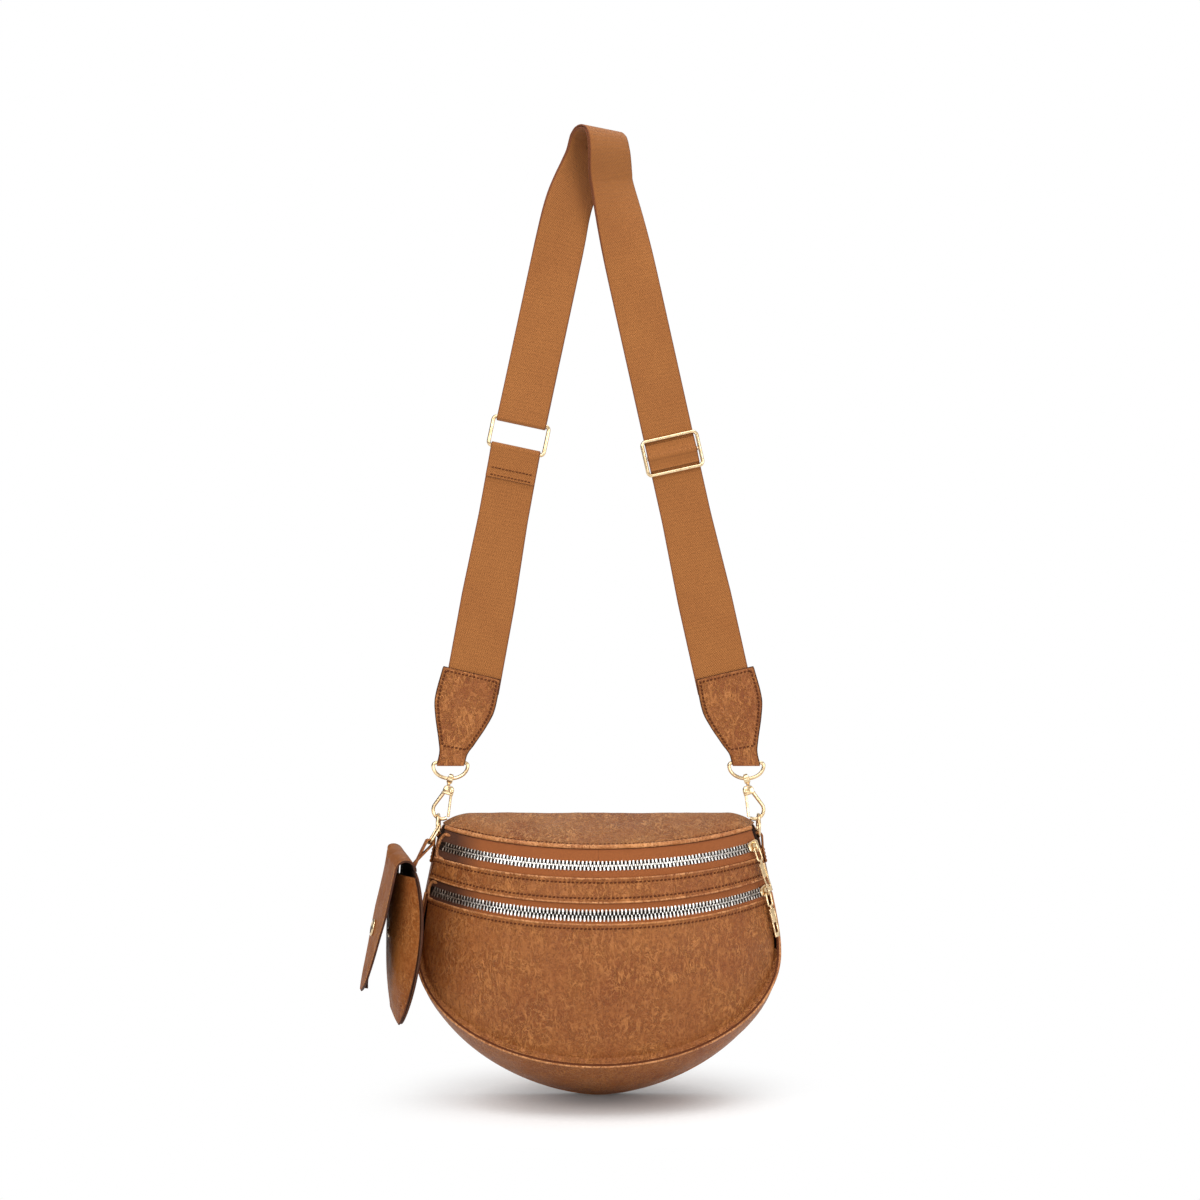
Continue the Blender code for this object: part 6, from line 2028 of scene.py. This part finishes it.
def studio_floor():
    """Pale floor that keeps the bag's shadow near it, with a painted shadow greying it round the bag's foot,
    and turns plain white farther out.
    """
    material, tree, shader = blank("studio_floor")
    grain = ramp(tree, cloud(tree, plain_coords(tree), FLOOR_GRAIN_SCALE, 3), 0.3, 0.7)
    # Painted shadow: grey laid into the floor in an oval round the bag's foot
    near = ramp(tree, distance_from_middle(tree, (1.0, 1.6, 1.0)), 0.01, 0.10, 0.72, 0)
    tone = layered(tree, (0.90, 0.90, 0.90, 1), [(grain, (0.94, 0.94, 0.94, 1)),
                                                 (near, (0.30, 0.31, 0.32, 1))])
    feed(tree, shader, [("Base Color", tone), ("Roughness", 0.8), ("Specular IOR Level", 0.1)])
    share = add_node(tree, "ShaderNodeMapRange",
                     [("Value", distance_from_middle(tree, (1.0, 1.5, 0.0))), ("From Min", 0.05),
                      ("From Max", 0.20)], interpolation_type="SMOOTHSTEP").outputs["Result"]
    glow = add_node(tree, "ShaderNodeEmission", [("Color", WHITE), ("Strength", 1.0)]).outputs[0]
    feed(tree, tree.nodes["Material Output"],
         [("Surface", mixed_shaders(tree, share, shader.outputs["BSDF"], glow))])
    bpy.ops.mesh.primitive_plane_add(size=FLOOR_SIZE, location=(0, 0, FLOOR_HEIGHT))
    floor = bpy.context.object
    floor.name = "floor"
    floor.data.materials.append(material)


def studio_light(name, where, target, size, power):
    data = bpy.data.lights.new(name, "AREA")
    data.shape = "RECTANGLE"
    data.size, data.size_y = size
    data.energy = power
    lamp = new_object(name, data)
    lamp.location = where
    lamp.rotation_euler = (Vector(target) - Vector(where)).to_track_quat("-Z", "Y").to_euler()


def studio_world():
    """White behind the bag, soft light on it, and bright and dark bands for metal to mirror."""
    world = bpy.data.worlds.new("studio")
    bpy.context.scene.world = world
    world.use_nodes = True
    tree = world.node_tree
    tree.nodes.clear()
    bands = add_node(tree, "ShaderNodeValToRGB",
                     [("Fac", ramp(tree, split_coords(tree, "Generated")["X"], -1, 1))])
    elements = bands.color_ramp.elements
    elements[0].position, elements[0].color = 0.0, (0.16, 0.15, 0.14, 1)
    elements[1].position, elements[1].color = 1.0, (0.9, 0.9, 0.9, 1)
    for position, level in LIGHT_BANDS:
        elements.new(position).color = (level, level * 0.99, level * 0.97, 1)
    soft, banded, white = (
        add_node(tree, "ShaderNodeBackground", [("Color", colour), ("Strength", strength)]).outputs[0]
        for colour, strength in ((WHITE, SOFT_LIGHT), (bands.outputs["Color"], BAND_LIGHT), (WHITE, 1.0)))
    path = add_node(tree, "ShaderNodeLightPath").outputs
    lit = mixed_shaders(tree, path["Is Glossy Ray"], soft, banded)
    seen = mixed_shaders(tree, path["Is Camera Ray"], lit, white)
    add_node(tree, "ShaderNodeOutputWorld", [("Surface", seen)])


def camera():
    data = bpy.data.cameras.new("camera")
    data.sensor_fit = "HORIZONTAL"
    data.angle = 2 * math.atan(VIEW_SPAN / 2 / CAMERA_DISTANCE)
    data.clip_end = 50
    made = new_object("camera", data)
    made.location = (VIEW_SHIFT, -CAMERA_DISTANCE, VIEW_HEIGHT - STRAP_DROP)
    made.rotation_euler = (math.pi / 2, 0, 0)
    bpy.context.scene.camera = made


studio_floor()
studio_world()
studio_light("key", (-0.9, -1.5, 0.6), (0, 0, -0.45), (1.4, 1.4), 25)
studio_light("fill", (1.3, -1.4, -0.30), (0, 0, -0.55), (1.2, 1.0), 15)
studio_light("top", (0.1, -0.3, 1.2), (0, 0, -0.5), (1.6, 1.0), 16)
studio_light("low", (-0.2, -1.1, -0.66), (0, 0, -0.69), (1.2, 0.08), 1.4)
camera()
bpy.context.scene.view_settings.view_transform = "Standard"
